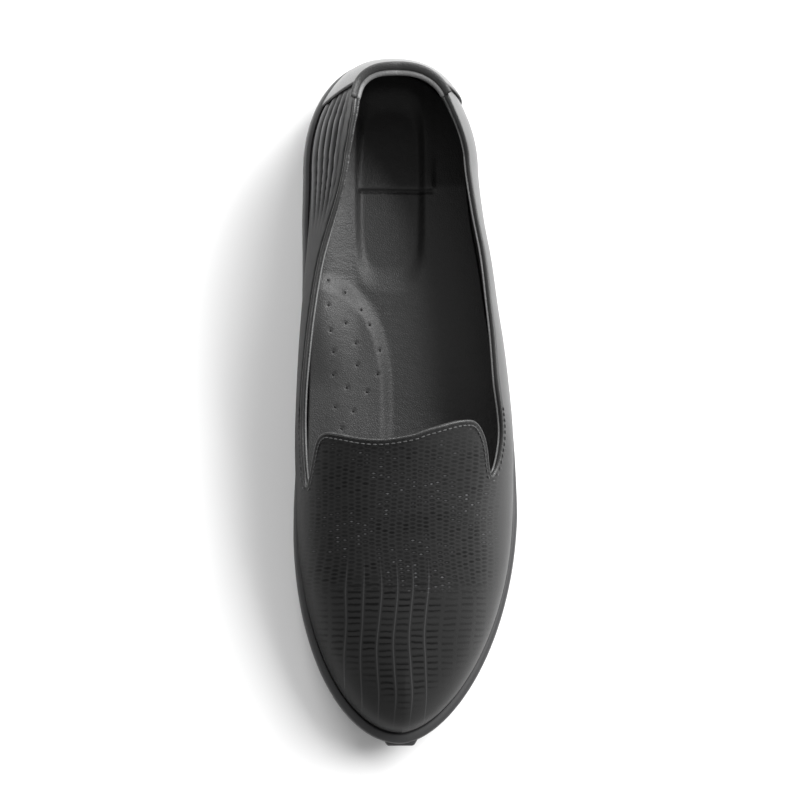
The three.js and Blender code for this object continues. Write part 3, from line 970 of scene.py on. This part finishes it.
# name, base, light, roughness, cell, crease, bump
LEATHERS = {
    "vamp": LeatherFinish("print_leather", 0.017, 0.025, 0.42, 1500, 0.03, 0.1, specular=0.09, printed=True),
    "plain": LeatherFinish("counter_leather", 0.02, 0.028, 0.33, 1500, 0.05, 0.1, coat=0.1),
    "edge": LeatherFinish("folded_edge_leather", 0.02, 0.03, 0.33, 1700, 0.1, 0.2),
    "collar": LeatherFinish("collar_leather", 0.022, 0.034, 0.45, 1100, 0.25, 0.35),
    "lining": LeatherFinish("lining_leather", 0.036, 0.054, 0.42, 1100, 0.3, 0.4, wrinkle=1.6),
    # painted highlight: the lining's edge and the heel grip's edge are far lighter than the lining
    "painted_highlight": LeatherFinish("lining_edge_painted_highlight", 0.11, 0.2, 0.45, 1000, 0.3, 0.3),
    "sock": LeatherFinish("sock_leather", 0.026, 0.038, 0.45, 1300, 0.2, 0.22, wrinkled=True),
    # also used for the dark discs in the pinholes, which are painted shade
    "dark": LeatherFinish("burnished_edge_and_hole_shade", 0.003, 0.005, 0.7, 1500, 0.2, 0.3),
}


def build_kit() -> Kit:
    """Build every finish once."""
    groups = {"leather_grain": grain_group(), "lizard_print": print_group(PrintSizes(), lattice_group())}
    kit = {name: leather.build(groups) for name, leather in LEATHERS.items()}
    return kit | {"rubber": RubberFinish().build(), "thread": ThreadFinish().build()}


def dress(piece: Piece, material: bpy.types.Material, slot: Slot, *nodes: str) -> None:
    """Give a piece its finish and its body, and hide the nodes it stands for."""
    piece.data.materials.clear()
    piece.data.materials.append(material)
    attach(piece, BODY)
    if nodes:
        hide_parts(*nodes)
    log.info("%s: %d faces", piece.name, len(piece.data.polygons))


def stations(heel: int, waist: int, toe: int) -> list[float]:
    """Return stations from the back to the toe tip."""
    return (
        [-1 + i / heel for i in range(heel)]
        + [i / waist for i in range(waist)]
        + [1 + i / toe for i in range(toe + 1)]
    )


@dataclass
class Upper:
    """The whole-cut upper with its lining, folded edge and seams."""

    last: Last
    topline: Topline
    kit: Kit
    lining: float = 0.9
    edge_pitch: float = 0.9
    stitch_pitch: float = 2.1
    stitch_drop: float = 1.9
    stitch_start: float = 0.7
    seam_at: float = -0.44
    pleats: int = 5
    pleat_height: float = 1.3
    pleat_end: float = 0.8
    topline_shade_outer: float = 2.1
    topline_shade_inner: float = 3.0
    plates_tip: float = -207
    plates_back: float = -160
    plates_sides: tuple[float, float] = (-24, 34)
    lines_ends: tuple[float, float] = (-211, -157)
    lines_sides: tuple[float, float] = (-20.5, 14)
    beads_front: float = -164
    beads_sides: tuple[float, float] = (-29, 36)
    stitch_size: tuple[float, float, float] = (0.85, 0.24, 0.2)

    def cut_sheet(
        self, name: str, list_of_stations: Sequence[float], half: int, depth: Callable[[float], float]
    ) -> tuple[Piece, list[Vector], list[bool]]:
        """Make a skin of the last whose edge follows the topline.

        Args:
            name: the piece's name.
            list_of_stations: the stations of its rows.
            half: points from feather line to crown.
            depth: depth of the skin at a station.

        Returns:
            The piece, the (station, mark) pair of each of its points, and whether it lies in the opening.
        """
        marks = [1 - i / half for i in range(2 * half + 1)]
        rows = [[Vector((at, mark)) for mark in marks] for at in list_of_stations]
        inside = self.snap(rows, 1 / half)
        places = []
        for row in rows:
            at = row[half].x
            if all(p.x == at for p in row):
                ribs = {side: self.last.rib(at, side, depth(at)) for side in Side}
                places.append([ribs[Side.of(p.y)].point(1 - abs(p.y)) for p in row])
            else:
                places.append([self.last.skin(p.x, p.y, depth(p.x)) for p in row])
        piece = grid_object(name, places)
        return piece, [p for row in rows for p in row], [flag for row in inside for flag in row]

    def snap(self, rows: list[list[Vector]], cell: float) -> list[list[bool]]:
        """Move the points next to the topline onto it.

        Args:
            rows: (station, mark) pairs, changed in place.
            cell: distance of two marks.

        Returns:
            For each point, whether it lies in the opening.
        """
        inside = []
        for row in rows:
            cuts = self.topline.crossings(row[0].x)
            flags = [False] * len(row)
            for low, high in zip(cuts[::2], cuts[1::2]):
                for i, p in enumerate(row):
                    flags[i] = flags[i] or low < p.y < high
            inside.append(flags)
        line = self.topline.line
        width = len(rows[0])
        steps = [rows[i + 1][0].x - rows[i][0].x for i in range(len(rows) - 1)]
        steps.append(steps[-1])
        marks = [p.y for p in rows[0]]
        firsts = [row[0].x for row in rows]
        best: dict[tuple[int, int], tuple[float, Vector]] = {}
        for a, b in zip(line, line[1:]):
            pieces = max(1, math.ceil(abs(b.y - a.y) / (cell / 3)), math.ceil(abs(b.x - a.x) / (steps[0] / 3)))
            for k in range(pieces):
                p = a.lerp(b, k / pieces)
                i = int(clamp(bisect_right(firsts, p.x) - 1, 0, len(rows) - 2))
                if p.x - firsts[i] > firsts[i + 1] - p.x:
                    i += 1
                j = int(clamp(round((marks[0] - p.y) / cell), 0, width - 1))
                reach = math.hypot((p.x - firsts[i]) / steps[i], (p.y - marks[j]) / cell)
                if (i, j) not in best or reach < best[(i, j)][0]:
                    best[(i, j)] = (reach, p)
        for (i, j), (_, p) in best.items():
            x = rows[i][j].x if i == 0 else p.x
            rows[i][j] = Vector((x, p.y))
            inside[i][j] = False
        return inside

    @staticmethod
    def open_up(piece: Piece, gone: Sequence[bool]) -> None:
        """Delete the points in the opening and split the squares that the edge crosses."""
        work = bmesh.new()
        work.from_mesh(piece.data)
        work.verts.ensure_lookup_table()
        for face in list(work.faces):
            lost = [v for v in face.verts if gone[v.index]]
            kept = [v for v in face.verts if not gone[v.index]]
            if len(lost) == 1 and len(kept) == 3:
                work.faces.new(kept).smooth = True
        bmesh.ops.delete(work, geom=[v for v in work.verts if gone[v.index]], context="VERTS")
        work.to_mesh(piece.data)
        work.free()

    def print_masks(self, pairs: Sequence[Vector], piece: Piece) -> Masks:
        """Return where each kind of print shows, one value for each point."""
        masks: Masks = {word: [] for word in ("plates", "lines", "beads")}
        for pair, vertex in zip(pairs, piece.data.vertices):
            x, y = vertex.co.x / MM, vertex.co.y / MM
            front = smooth((pair.x - 0.7) / 0.15)
            low = self.plates_tip + 0.8 * abs(x - 4)
            plates = band(y, low, self.plates_back, 12) * band(x, *self.plates_sides, 12)
            masks["plates"].append(front * plates * lerp(1, 0.6, smooth((x - 12) / 8)))
            masks["lines"].append(front * band(y, *self.lines_ends, 16) * band(x, *self.lines_sides, 4))
            beads = smooth((y - self.beads_front) / 12 + 0.5) * band(x, *self.beads_sides, 12)
            masks["beads"].append(front * beads * 0.9)
        return masks

    @staticmethod
    def gloss(pair: Vector) -> float:
        """Return the coat's strength at a place: polished quarters, a dull vamp with a brighter outer side."""
        if pair.y < 0:
            return 0.0
        quarter = smooth((0.95 - pair.x) / 0.3)
        return max(0.45 * quarter, 0.2 * smooth((pair.y - 0.2) / 0.4) * smooth((1.8 - pair.x) / 0.6))

    def topline_shade_mask(self, pairs: Sequence[Vector], piece: Piece) -> list[float]:
        """Return how far each point lies in the painted shade along the turned band of the quarters' topline.
        """
        spots = [f.spot for f in edge_frames(self.topline, 1.0)]
        tree = KDTree(len(spots))
        for i, spot in enumerate(spots):
            tree.insert(spot, i)
        tree.balance()
        values = []
        for pair, vertex in zip(pairs, piece.data.vertices):
            wide = self.topline_shade_outer if pair.y > 0 else self.topline_shade_inner
            away = tree.find(vertex.co / MM)[2]
            back = smooth((0.78 - pair.x) / 0.1) * smooth((pair.x - self.seam_at) / 0.04)
            values.append(0.85 * back * smooth((wide - away) / 0.7 + 0.5))
        return values

    def wall_span(self, at: float, side: Side) -> tuple[float, float] | None:
        """Return X at the feather line and at the topline of one side of a station."""
        cuts = self.topline.crossings(max(at, -0.999))
        if not cuts:
            return None
        edge = cuts[-1] if side is Side.OUTER else cuts[0]
        return self.last.skin(at, side.value).x, self.last.skin(at, edge).x

    def pleat_lift(self, x: float, at: float, span: tuple[float, float]) -> float:
        """Return the pleats' height along the inner quarter, from -0.5 in a fold to 0.5 on a ridge."""
        share = (x - span[0]) / (span[1] - span[0]) / self.pleat_end
        if not 0 < share < 1:
            return 0.0
        wide = smooth((span[1] - span[0] - 5) / 6)
        fade = wide * smooth((0.5 - at) / 0.38) * smooth(share / 0.06) * smooth((1 - share) / 0.06)
        ridge = (0.5 - 0.5 * math.cos(2 * math.pi * share * self.pleats)) ** 1.2
        return fade * (ridge - 0.5)

    def build_skin(self) -> None:
        """Build the printed outer skin."""
        half = 104
        rows = stations(70, 150, 180)
        piece, pairs, gone = self.cut_sheet("upper_skin", rows, half, lambda at: 0.0)
        normals = [v.vector.copy() for v in piece.data.vertex_normals]
        sign = 1.0 if normals[half // 3].x > 0 else -1.0
        spans = {round(at, 4): self.wall_span(at, Side.INNER) for at in rows if -0.97 < at < 0.6}
        masks = self.print_masks(pairs, piece)
        # painted shade along the turned band of the quarters' topline
        masks["seam"] = self.topline_shade_mask(pairs, piece)
        masks["gloss"] = [self.gloss(pair) for pair in pairs]
        masks["pleat_highlight"] = []
        for i, (pair, vertex, normal) in enumerate(zip(pairs, piece.data.vertices, normals)):
            span = spans.get(round(pair.x, 4))
            lift = self.pleat_lift(vertex.co.x / MM, pair.x, span) if span and pair.y < 0 else 0.0
            vertex.co += normal * (sign * lift * self.pleat_height * MM)
            # painted highlight on the pleat ridges of the inner quarter
            masks["pleat_highlight"].append(clamp(2 * lift - 0.1))
            # painted shade in the pleat folds and on the inner side near the feather line over the fore part
            inner_side_shade = 0.8 * smooth((-pair.y - 0.6) / 0.3) * smooth((pair.x - 0.6) / 0.3)
            masks["seam"][i] = max(masks["seam"][i], clamp(-3 * lift - 0.1), inner_side_shade)
        give_masks(piece, masks)
        self.open_up(piece, gone)
        turn_outwards(piece)
        dress(piece, self.kit["vamp"], Slot.UPPER, "upper")

    def build_lining(self) -> None:
        """Build the lining on the inside of the wall."""
        piece, _, gone = self.cut_sheet(
            "upper_lining", stations(40, 100, 60), 48, lambda at: self.last.wall_at(at) - self.lining
        )
        self.open_up(piece, gone)
        turn_outwards(piece)
        apply_modifier(piece, "SOLIDIFY", thickness=self.lining * MM, offset=-1.0)
        dress(piece, self.kit["lining"], Slot.LINING)

    def build_edges(self) -> None:
        """Build the folded edge, the lining's edge and the heel grip's edge, and the padded collar between the
        heel seams; both lining edges carry a painted highlight.
        """
        frames = edge_frames(self.topline, self.edge_pitch)
        front = [f for f in frames if f.at > self.seam_at - 0.02]
        back = [f for side in (-1, 1) for f in frames if f.at <= self.seam_at and f.mark * side > 0]

        def folded(f: EdgeFrame) -> Profile:
            """Return the folded edge's section, as wide as the wall without its lining."""
            inner = self.last.wall_at(f.at) - self.lining + 0.1
            return oval((0.12 - inner) / 2, (0.12 + inner) / 2, 0.3, 0.55, 14)

        def beside(gap: float, *sizes: float) -> Callable[[EdgeFrame], Profile]:
            """Return a section at a gap from the wall's inner side."""
            return lambda f: oval(gap - self.last.wall_at(f.at), *sizes)

        for name, places, profile, finish, slot in (
            ("folded_edge", front, folded, "edge", Slot.UPPER),
            ("lining_edge", front, beside(0.3, 0.42, 0.25, 0.5, 10), "painted_highlight", Slot.LINING),
            ("collar_band", back, lambda f: oval(-0.1, 1.6, 0.55, 0.95, 18), "collar", Slot.UPPER),
            ("heel_grip_edge", back, beside(0.6, 1.1, 0.5, 1.0, 12), "painted_highlight", Slot.LINING),
        ):
            dress(sweep(name, places, profile), self.kit[finish], slot)

    def build_stitches(self) -> None:
        """Build the stitch row under the folded edge."""
        deselect()
        bpy.ops.mesh.primitive_uv_sphere_add(segments=8, ring_count=6, radius=1.0)
        model = bpy.context.object
        places = []
        for f in edge_frames(self.topline, self.stitch_pitch):
            if f.at < self.stitch_start:
                continue
            spot = (f.spot + f.down * self.stitch_drop + f.outwards * 0.02) * MM
            axes = Matrix((f.along, f.down, f.outwards)).transposed().to_4x4()
            size = Matrix.Diagonal((*[value * MM for value in self.stitch_size], 1.0))
            places.append(Matrix.Translation(spot) @ axes @ size)
        dress(scatter("edge_stitches", model, places), self.kit["thread"], Slot.UPPER)

    def build(self) -> None:
        """Build every piece of the upper."""
        self.build_skin()
        self.build_lining()
        self.build_edges()
        self.build_stitches()


@dataclass
class HeelCounter:
    """Smooth leather patch around the back of the heel."""

    last: Last
    topline: Topline
    kit: Kit
    thickness: float = 1.0
    edge: float = 17
    bead: float = 0.6
    bead_steps: int = 60

    def front(self, rise: float, side: Side) -> float:
        """Return the station of the patch's front edge at a rise."""
        low, high = -0.95, -0.1
        for _ in range(24):
            middle = (low + high) / 2
            y = self.last.skin(middle, side.value * (1 - rise), -self.last.fit_gap).y
            low, high = (middle, high) if y > self.edge else (low, middle)
        return low

    def top(self, at: float, side: Side) -> float:
        """Return the rise of the topline at a station."""
        cuts = self.topline.crossings(clamp(at, -0.999, 0))
        return 1 - (cuts[-1] if side is Side.OUTER else -cuts[0])

    def place(self, spread: float, share: float) -> Vector:
        """Return a point of the patch: spread runs from -1 to 1 across, share from foot to topline."""
        side = Side.of(spread)
        end = self.front(share * self.top(-0.5, side), side)
        at = -1 + abs(spread) * (1 + end)
        rise = share * (self.top(at, side) - 0.004)
        return self.last.skin(at, side.value * (1 - rise), -self.last.fit_gap - self.thickness)

    def build(self) -> None:
        """Build the patch and the burnished beads along its front edges."""
        up, across = 44, 110
        rows = [[self.place(2 * j / across - 1, i / up) for j in range(across + 1)] for i in range(up + 1)]
        piece = grid_object("heel_counter_patch", rows)
        turn_outwards(piece, Vector((0, 1, 0)))
        apply_modifier(piece, "SOLIDIFY", thickness=self.thickness * MM, offset=-1.0)
        limit = {"limit_method": "ANGLE", "angle_limit": math.radians(50)}
        apply_modifier(piece, "BEVEL", width=0.3 * MM, segments=2, **limit)
        dress(piece, self.kit["plain"], Slot.COUNTER, "heel_counter")
        self.build_beads()

    def build_beads(self) -> None:
        """Build the dark raw edge on both sides, with small swellings."""
        for side in Side:
            wide = self.bead if side is Side.INNER else self.bead * 0.5
            end = self.bead_steps
            line = [self.place(side.value, 0.02 + 0.97 * i / end) for i in range(end + 1)]
            frames = []
            for i, spot in enumerate(line):
                along = (line[min(i + 1, end)] - line[max(i - 1, 0)]).normalized()
                outwards = Vector((side.value, 0.35, 0.0)).normalized()
                down = outwards.cross(along).normalized()
                frames.append(EdgeFrame(spot, along, along.cross(down), down, i, 0))

            def bead(f: EdgeFrame) -> Profile:
                """Return the bead's section, a little uneven along the edge."""
                size = wide * (1 + 0.14 * math.sin(f.at * 1.9) + 0.1 * math.sin(f.at * 0.83 + 1))
                return oval(-0.55, 0.75 * size, 0.0, size, 10)

            dress(sweep("counter_edge_" + side.word, frames, bead), self.kit["dark"], Slot.COUNTER)


@dataclass(frozen=True)
class Hole:
    """A pinhole of the arch pad, in millimetres."""

    x: float
    y: float


PINHOLES = tuple(Hole(*row) for row in (
    (-23.8, -49.2), (-17.4, -53.5), (-23.7, -58.4), (-11.2, -59.8), (-17.1, -64.9), (-8.0, -65.4),
    (-22.8, -67.8), (-13.2, -72.2), (-21.6, -75.5), (-4.1, -74.8), (-12.6, -80.4), (-4.8, -83.6),
    (-21.5, -84.0), (-16.4, -88.8), (-8.8, -90.3), (-20.7, -96.1), (-13.9, -97.6), (-18.3, -104.1),
))


@dataclass
class Insole:
    """Padded leather sock with a heel patch, an oval recess and an arch pad."""

    last: Last
    kit: Kit
    thickness: float = 3.2
    gap: float = 0.6
    patch_step: float = 0.6
    patch_edge: float = -14.4
    patch_left: float = -11.8
    patch_right: float = 16
    arch_rise: float = 3.5
    recess_depth: float = 1.6
    recess_length: float = 68
    recess_width: float = 24
    recess_side: float = 0.4
    recess_squareness: float = 4
    pad_height: float = 3.5
    pad_length: float = 106
    pad_middle: float = 98
    pad_reach: float = 34.5
    pad_power: float = 2.6
    pad_lip: float = 1.9
    hole_radius: float = 0.58
    hole_depth: float = 0.4
    shell: float = 0.8

    def recess(self, x: float, y: float) -> float:
        """Return the share of the recess's depth at a place."""
        power = self.recess_squareness
        across = abs(x + self.recess_side) / (self.recess_width / 2)
        along = abs(y - self.patch_edge) / (self.recess_length / 2)
        return smooth((1 - (across**power + along**power) ** (1 / power)) / 0.32 + 0.5)

    def pad(self, x: float, y: float) -> float:
        """Return how far inside the arch pad a place is, 0 at its edge."""
        across = (x + self.last.heel_width / 2) / self.pad_reach
        along = abs(y + self.pad_middle) / (self.pad_length / 2)
        return 1 - (max(0.0, across) ** self.pad_power + along**self.pad_power) ** (1 / self.pad_power)

    def loft(self, x: float, y: float) -> float:
        """Return the thickness of the sock at a place."""
        middle = band(x, self.patch_left, self.patch_right, 2.5)
        ahead = y - self.patch_edge
        patch = self.patch_step * smooth(ahead / 0.8 + 0.5) * middle * (1 - 0.85 * smooth(ahead / 16))
        slit = 0.9 * band(ahead, -1.0, -0.1, 0.5) * middle
        arch = self.arch_rise * smooth((-11 - x) / 16) * band(y, -75, 12, 30)
        inside = self.pad(x, y)
        lip = self.pad_lip * smooth(inside / 0.16)
        dome = (self.pad_height - self.pad_lip) * smooth(inside / 0.7)
        hole = 0.0
        for h in PINHOLES:
            away = math.hypot(x - h.x, y - h.y)
            if away < 2 * self.hole_radius:
                hole = max(hole, 1 - smooth(away / self.hole_radius / 2))
        sunk = self.recess_depth * self.recess(x, y) + self.hole_depth * hole
        return self.thickness + patch - slit - sunk + lip + dome + arch

    def on_top(self, x: float, y: float) -> Vector:
        """Return the point of the sock's top at a place."""
        return Vector((x, y, self.last.seat(y) + self.last.fit_gap + self.loft(x, y)))

    def painted_light(self, x: float, y: float) -> float:
        """Return the painted shade on the sock: the heel patch, the slit at its edge and the right wall of the
        recess.
        """
        slit = band(y - self.patch_edge, -1.3, 0.1, 0.5) * band(x, self.patch_left, self.patch_right, 1.5)
        rim = self.recess_width / 2 - self.recess_side
        wall = band(x, rim - 1.6, rim + 1.4, 1.6) * smooth((y + 46) / 10)
        heel = 0.8 * smooth((y - self.patch_edge) / 3) * smooth((x + 15) / 4)
        return max(slit, 0.9 * wall, heel)

    def wrinkle(self, x: float, y: float) -> float:
        """Return the strength of the slanting wrinkles at a place."""
        calm = max(self.recess(x, y), smooth(self.pad(x, y) / 0.1), smooth((y + 20) / 12))
        return lerp(0.9 if x < 0 else 0.5, 0.12, calm)

    def build(self) -> None:
        """Build the sock and the dark discs that paint shade in its pinholes."""
        last, columns = self.last, 112
        rows = []
        for at in stations(44, 190, 56):
            ribs = [last.rib(at, side, last.wall_at(at) + self.gap) for side in Side]
            left, right = [rib.point(rib.rise_at(self.thickness)) for rib in ribs]
            row = [left.lerp(right, j / columns) for j in range(columns + 1)]
            rows.append([self.on_top(spot.x, spot.y) for spot in row])
        piece = grid_object("sock", rows)
        spots = [p for row in rows for p in row]
        fields = {"wrinkle": self.wrinkle, "painted_light": self.painted_light}
        give_masks(piece, {name: [read(p.x, p.y) for p in spots] for name, read in fields.items()})
        turn_outwards(piece, Vector((0, 0, 1)))
        apply_modifier(piece, "SOLIDIFY", thickness=self.shell * MM, offset=-1.0)
        dress(piece, self.kit["sock"], Slot.LINING, "insole")
        self.build_pinholes()

    def build_pinholes(self) -> None:
        """Build a dark disc in each pinhole as painted shade."""
        deselect()
        bpy.ops.mesh.primitive_cylinder_add(vertices=16, radius=self.hole_radius * MM, depth=0.5 * MM)
        model = bpy.context.object
        sunk = Vector((0, 0, 0.03))
        places = [Matrix.Translation((self.on_top(h.x, h.y) - sunk) * MM) for h in PINHOLES]
        dress(scatter("pinhole_shade", model, places), self.kit["dark"], Slot.LINING)


@dataclass(frozen=True)
class SoleStep:
    """One step of the sole's side: inset, rise and lip as shares, and the share of the ledge's width."""

    inset: float
    rise: float
    lip: float = 0.0
    ledge: float = 0.0


SOLE_SIDE = tuple(SoleStep(*row) for row in (
    (1.1, 0), (0.9, 0.004), (0.62, 0.03), (0.45, 0.075), (0.4, 0.12), (0.3, 0.36), (0.28, 0.39),
    (0.34, 0.41), (0.52, 0.44), (0.56, 0.47), (0.55, 0.52), (0.48, 0.55), (0.22, 0.585), (0.13, 0.61),
    (0.1, 0.64), (0.02, 0.72), (0, 0.8), (0, 0.87, 0, 0.02), (0, 0.93, 0, 0.08), (0, 0.97, 0, 0.17),
    (0, 0.99, 0.25, 0.3), (0, 1, 0.6, 0.45), (0, 1, 0.85, 0.6), (0, 1, 1, 0.73), (0, 1, 0.95, 0.81),
    (0, 1, 0.6, 0.87), (0, 1, 0.1, 0.91), (0, 1, 0, 0.98),
))


@dataclass
class Sole:
    """Moulded rubber sole unit."""

    last: Last
    kit: Kit
    lip: float = 0.6
    groove_width: float = 2.4
    groove_depth: float = 1.5
    groove_pitch: float = 9
    border: float = 7
    lug_width: float = 10
    lug_reach: float = 0.8
    lug_root: float = 4
    lug_flare: float = 3
    lug_heights: tuple[float, float] = (0.15, 0.8)
    heel_tread: float = 0.07
    ball_tread: float = 0.8

    def edge(self, at: float, side: Side) -> Row:
        """Return the side's points at a station, from the tread up to the ledge."""
        row = []
        for step in SOLE_SIDE:
            inset = step.inset * self.last.rim_side + step.ledge * self.last.rim(at, side)
            x, y = self.last.inset_outline(at, side, inset)
            height = lerp(self.last.ground(y), self.last.seat(y), step.rise) + step.lip * self.lip
            row.append(Vector((x, y, height)))
        return row

    def blank(self) -> Piece:
        """Return the sole without lug and tread."""
        list_of_stations = stations(40, 90, 60)
        points: list[Vector] = []
        faces: list[list[int]] = []
        levels = len(SOLE_SIDE)
        for at in list_of_stations:
            for side in Side:
                points.extend(self.edge(at, side))
        for i in range(len(list_of_stations) - 1):
            a, b = i * 2 * levels, (i + 1) * 2 * levels
            for k in range(levels - 1):
                faces.append([a + k, b + k, b + k + 1, a + k + 1])
                faces.append([a + levels + k + 1, b + levels + k + 1, b + levels + k, a + levels + k])
            faces.append([a, a + levels, b + levels, b])
            faces.append([a + levels - 1, b + levels - 1, b + 2 * levels - 1, a + 2 * levels - 1])
        piece = new_object("sole_unit", [p * MM for p in points], faces)
        turn_outwards(piece)
        return piece

    def add_lug(self) -> Piece:
        """Return the small lug at the toe tip as a bevelled wedge."""
        tip = self.last.heel_back - self.last.sole_length
        low, high = [lerp(self.last.ground(tip), self.last.seat(tip), share) for share in self.lug_heights]
        deselect()
        bpy.ops.mesh.primitive_cube_add(size=1.0)
        lug = bpy.context.object
        for v in lug.data.vertices:
            front = v.co.y < 0
            half = self.lug_width / 2 + (0 if front else self.lug_flare)
            x = self.last.toe_swing - self.last.toe_turn + math.copysign(half, v.co.x)
            y = tip + (-self.lug_reach if front else self.lug_root)
            v.co = Vector((x, y, high if v.co.z > 0 else low)) * MM
        apply_modifier(lug, "BEVEL", width=0.9 * MM, segments=4)
        return lug

    def grooves(self) -> Piece:
        """Return the tread grooves as one cutter."""
        deselect()
        bpy.ops.mesh.primitive_cube_add(size=1.0)
        model = bpy.context.object
        last = self.last
        places = []
        for start, end in ((self.heel_tread, last.heel_flat_end), (last.ball_flat_start, self.ball_tread)):
            length = (end - start) * last.sole_length
            count = max(1, round(length / self.groove_pitch))
            for i in range(count):
                y = last.heel_back - start * last.sole_length - (i + 0.5) * length / count
                at = self.station_at(y)
                x1, x0 = [last.inset_outline(at, side, self.border)[0] for side in Side]
                deep = 2 * (self.groove_depth + last.ground(y))
                size = Matrix.Diagonal(((x1 - x0) * MM, self.groove_width * MM, deep * MM, 1.0))
                places.append(Matrix.Translation(Vector(((x0 + x1) / 2, y, 0)) * MM) @ size)
        return scatter("tread_cutter", model, places)

    def station_at(self, y: float) -> float:
        """Return the station of a place along the length."""
        last = self.last
        if y > last.heel_line:
            share = clamp((y - last.heel_line) / last.heel_round) ** (last.heel_squareness / 2)
            return 2 / math.pi * math.acos(share) - 1
        if y < last.ball_line:
            return 2 - 2 / math.pi * math.acos(clamp((last.ball_line - y) / last.toe_round))
        return (last.heel_line - y) / (last.heel_line - last.ball_line)

    def build(self) -> None:
        """Build the sole unit."""
        piece = self.blank()
        for operation, other in (("UNION", self.add_lug()), ("DIFFERENCE", self.grooves())):
            apply_modifier(piece, "BOOLEAN", operation=operation, object=other, solver="EXACT")
            bpy.data.objects.remove(other, do_unlink=True)
        activate(piece)
        bpy.ops.object.shade_smooth_by_angle(angle=math.radians(32))
        dress(piece, self.kit["rubber"], Slot.SOLE, "sole")


# name, place, size, power
LIGHTS = (
    ("key_light", (0.92, 0.46, 0.9), 1.1, 39.0),
    ("back_light", (-0.5, 1.3, 0.6), 0.8, 18.0),
    ("rim_light", (0.7, 1.2, 0.8), 0.7, 12.0),
)


@dataclass(frozen=True)
class Studio:
    """Plain pale floor, soft light and the camera, in metres."""

    camera_spot: tuple[float, float, float] = (-0.058, -0.15, 0.9)
    target: tuple[float, float, float] = (0.0035, -0.0935, 0.02)
    lens: float = 106.0
    world_strength: float = 0.42

    def add_floor(self) -> None:
        """Add the floor."""
        deselect()
        bpy.ops.mesh.primitive_plane_add(size=8.0)
        floor = bpy.context.object
        floor.name = "floor"
        material = bpy.data.materials.new("pale_floor")
        material.use_nodes = True
        shader = material.node_tree.nodes["Principled BSDF"]
        shader.inputs["Base Color"].default_value = (0.9, 0.9, 0.9, 1.0)
        shader.inputs["Roughness"].default_value = 0.7
        shader.inputs["Specular IOR Level"].default_value = 0.2
        floor.data.materials.append(material)

    def add_light(self, name: str, spot: Sequence[float], size: float, power: float) -> None:
        """Add a square light that faces the shoe."""
        lamp = bpy.data.lights.new(name, "AREA")
        lamp.size = size
        lamp.energy = power
        holder = bpy.data.objects.new(name, lamp)
        holder.location = spot
        holder.rotation_euler = (Vector(self.target) - Vector(spot)).to_track_quat("-Z", "Y").to_euler()
        bpy.context.scene.collection.objects.link(holder)

    def add_camera(self) -> None:
        """Add the camera straight above the shoe's inner side, with the heel at the top."""
        data = bpy.data.cameras.new("camera")
        data.lens = self.lens
        data.clip_start = 0.05
        camera = bpy.data.objects.new("camera", data)
        ahead = (Vector(self.target) - Vector(self.camera_spot)).normalized()
        right = ahead.cross(Vector((0, 1, 0))).normalized()
        up = right.cross(ahead)
        turn = Matrix((right, up, -ahead)).transposed().to_4x4()
        camera.matrix_world = Matrix.Translation(self.camera_spot) @ turn
        bpy.context.scene.collection.objects.link(camera)
        bpy.context.scene.camera = camera

    def build(self) -> None:
        """Build floor, lights, world and camera."""
        self.add_floor()
        for light in LIGHTS:
            self.add_light(*light)
        world = bpy.data.worlds.new("studio")
        world.use_nodes = True
        backdrop = world.node_tree.nodes["Background"]
        backdrop.inputs["Color"].default_value = (1.0, 1.0, 1.0, 1.0)
        backdrop.inputs["Strength"].default_value = self.world_strength
        bpy.context.scene.world = world
        bpy.context.scene.view_settings.view_transform = "Standard"
        self.add_camera()


def main() -> None:
    """Build the shoe and its studio."""
    logging.basicConfig(level=logging.INFO, format="%(name)s %(message)s")
    last = Last()
    topline = Topline(last)
    kit = build_kit()
    Upper(last, topline, kit).build()
    HeelCounter(last, topline, kit).build()
    Insole(last, kit).build()
    Sole(last, kit).build()
    Studio().build()


if __name__ == "__main__":
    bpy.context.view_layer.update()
    main()
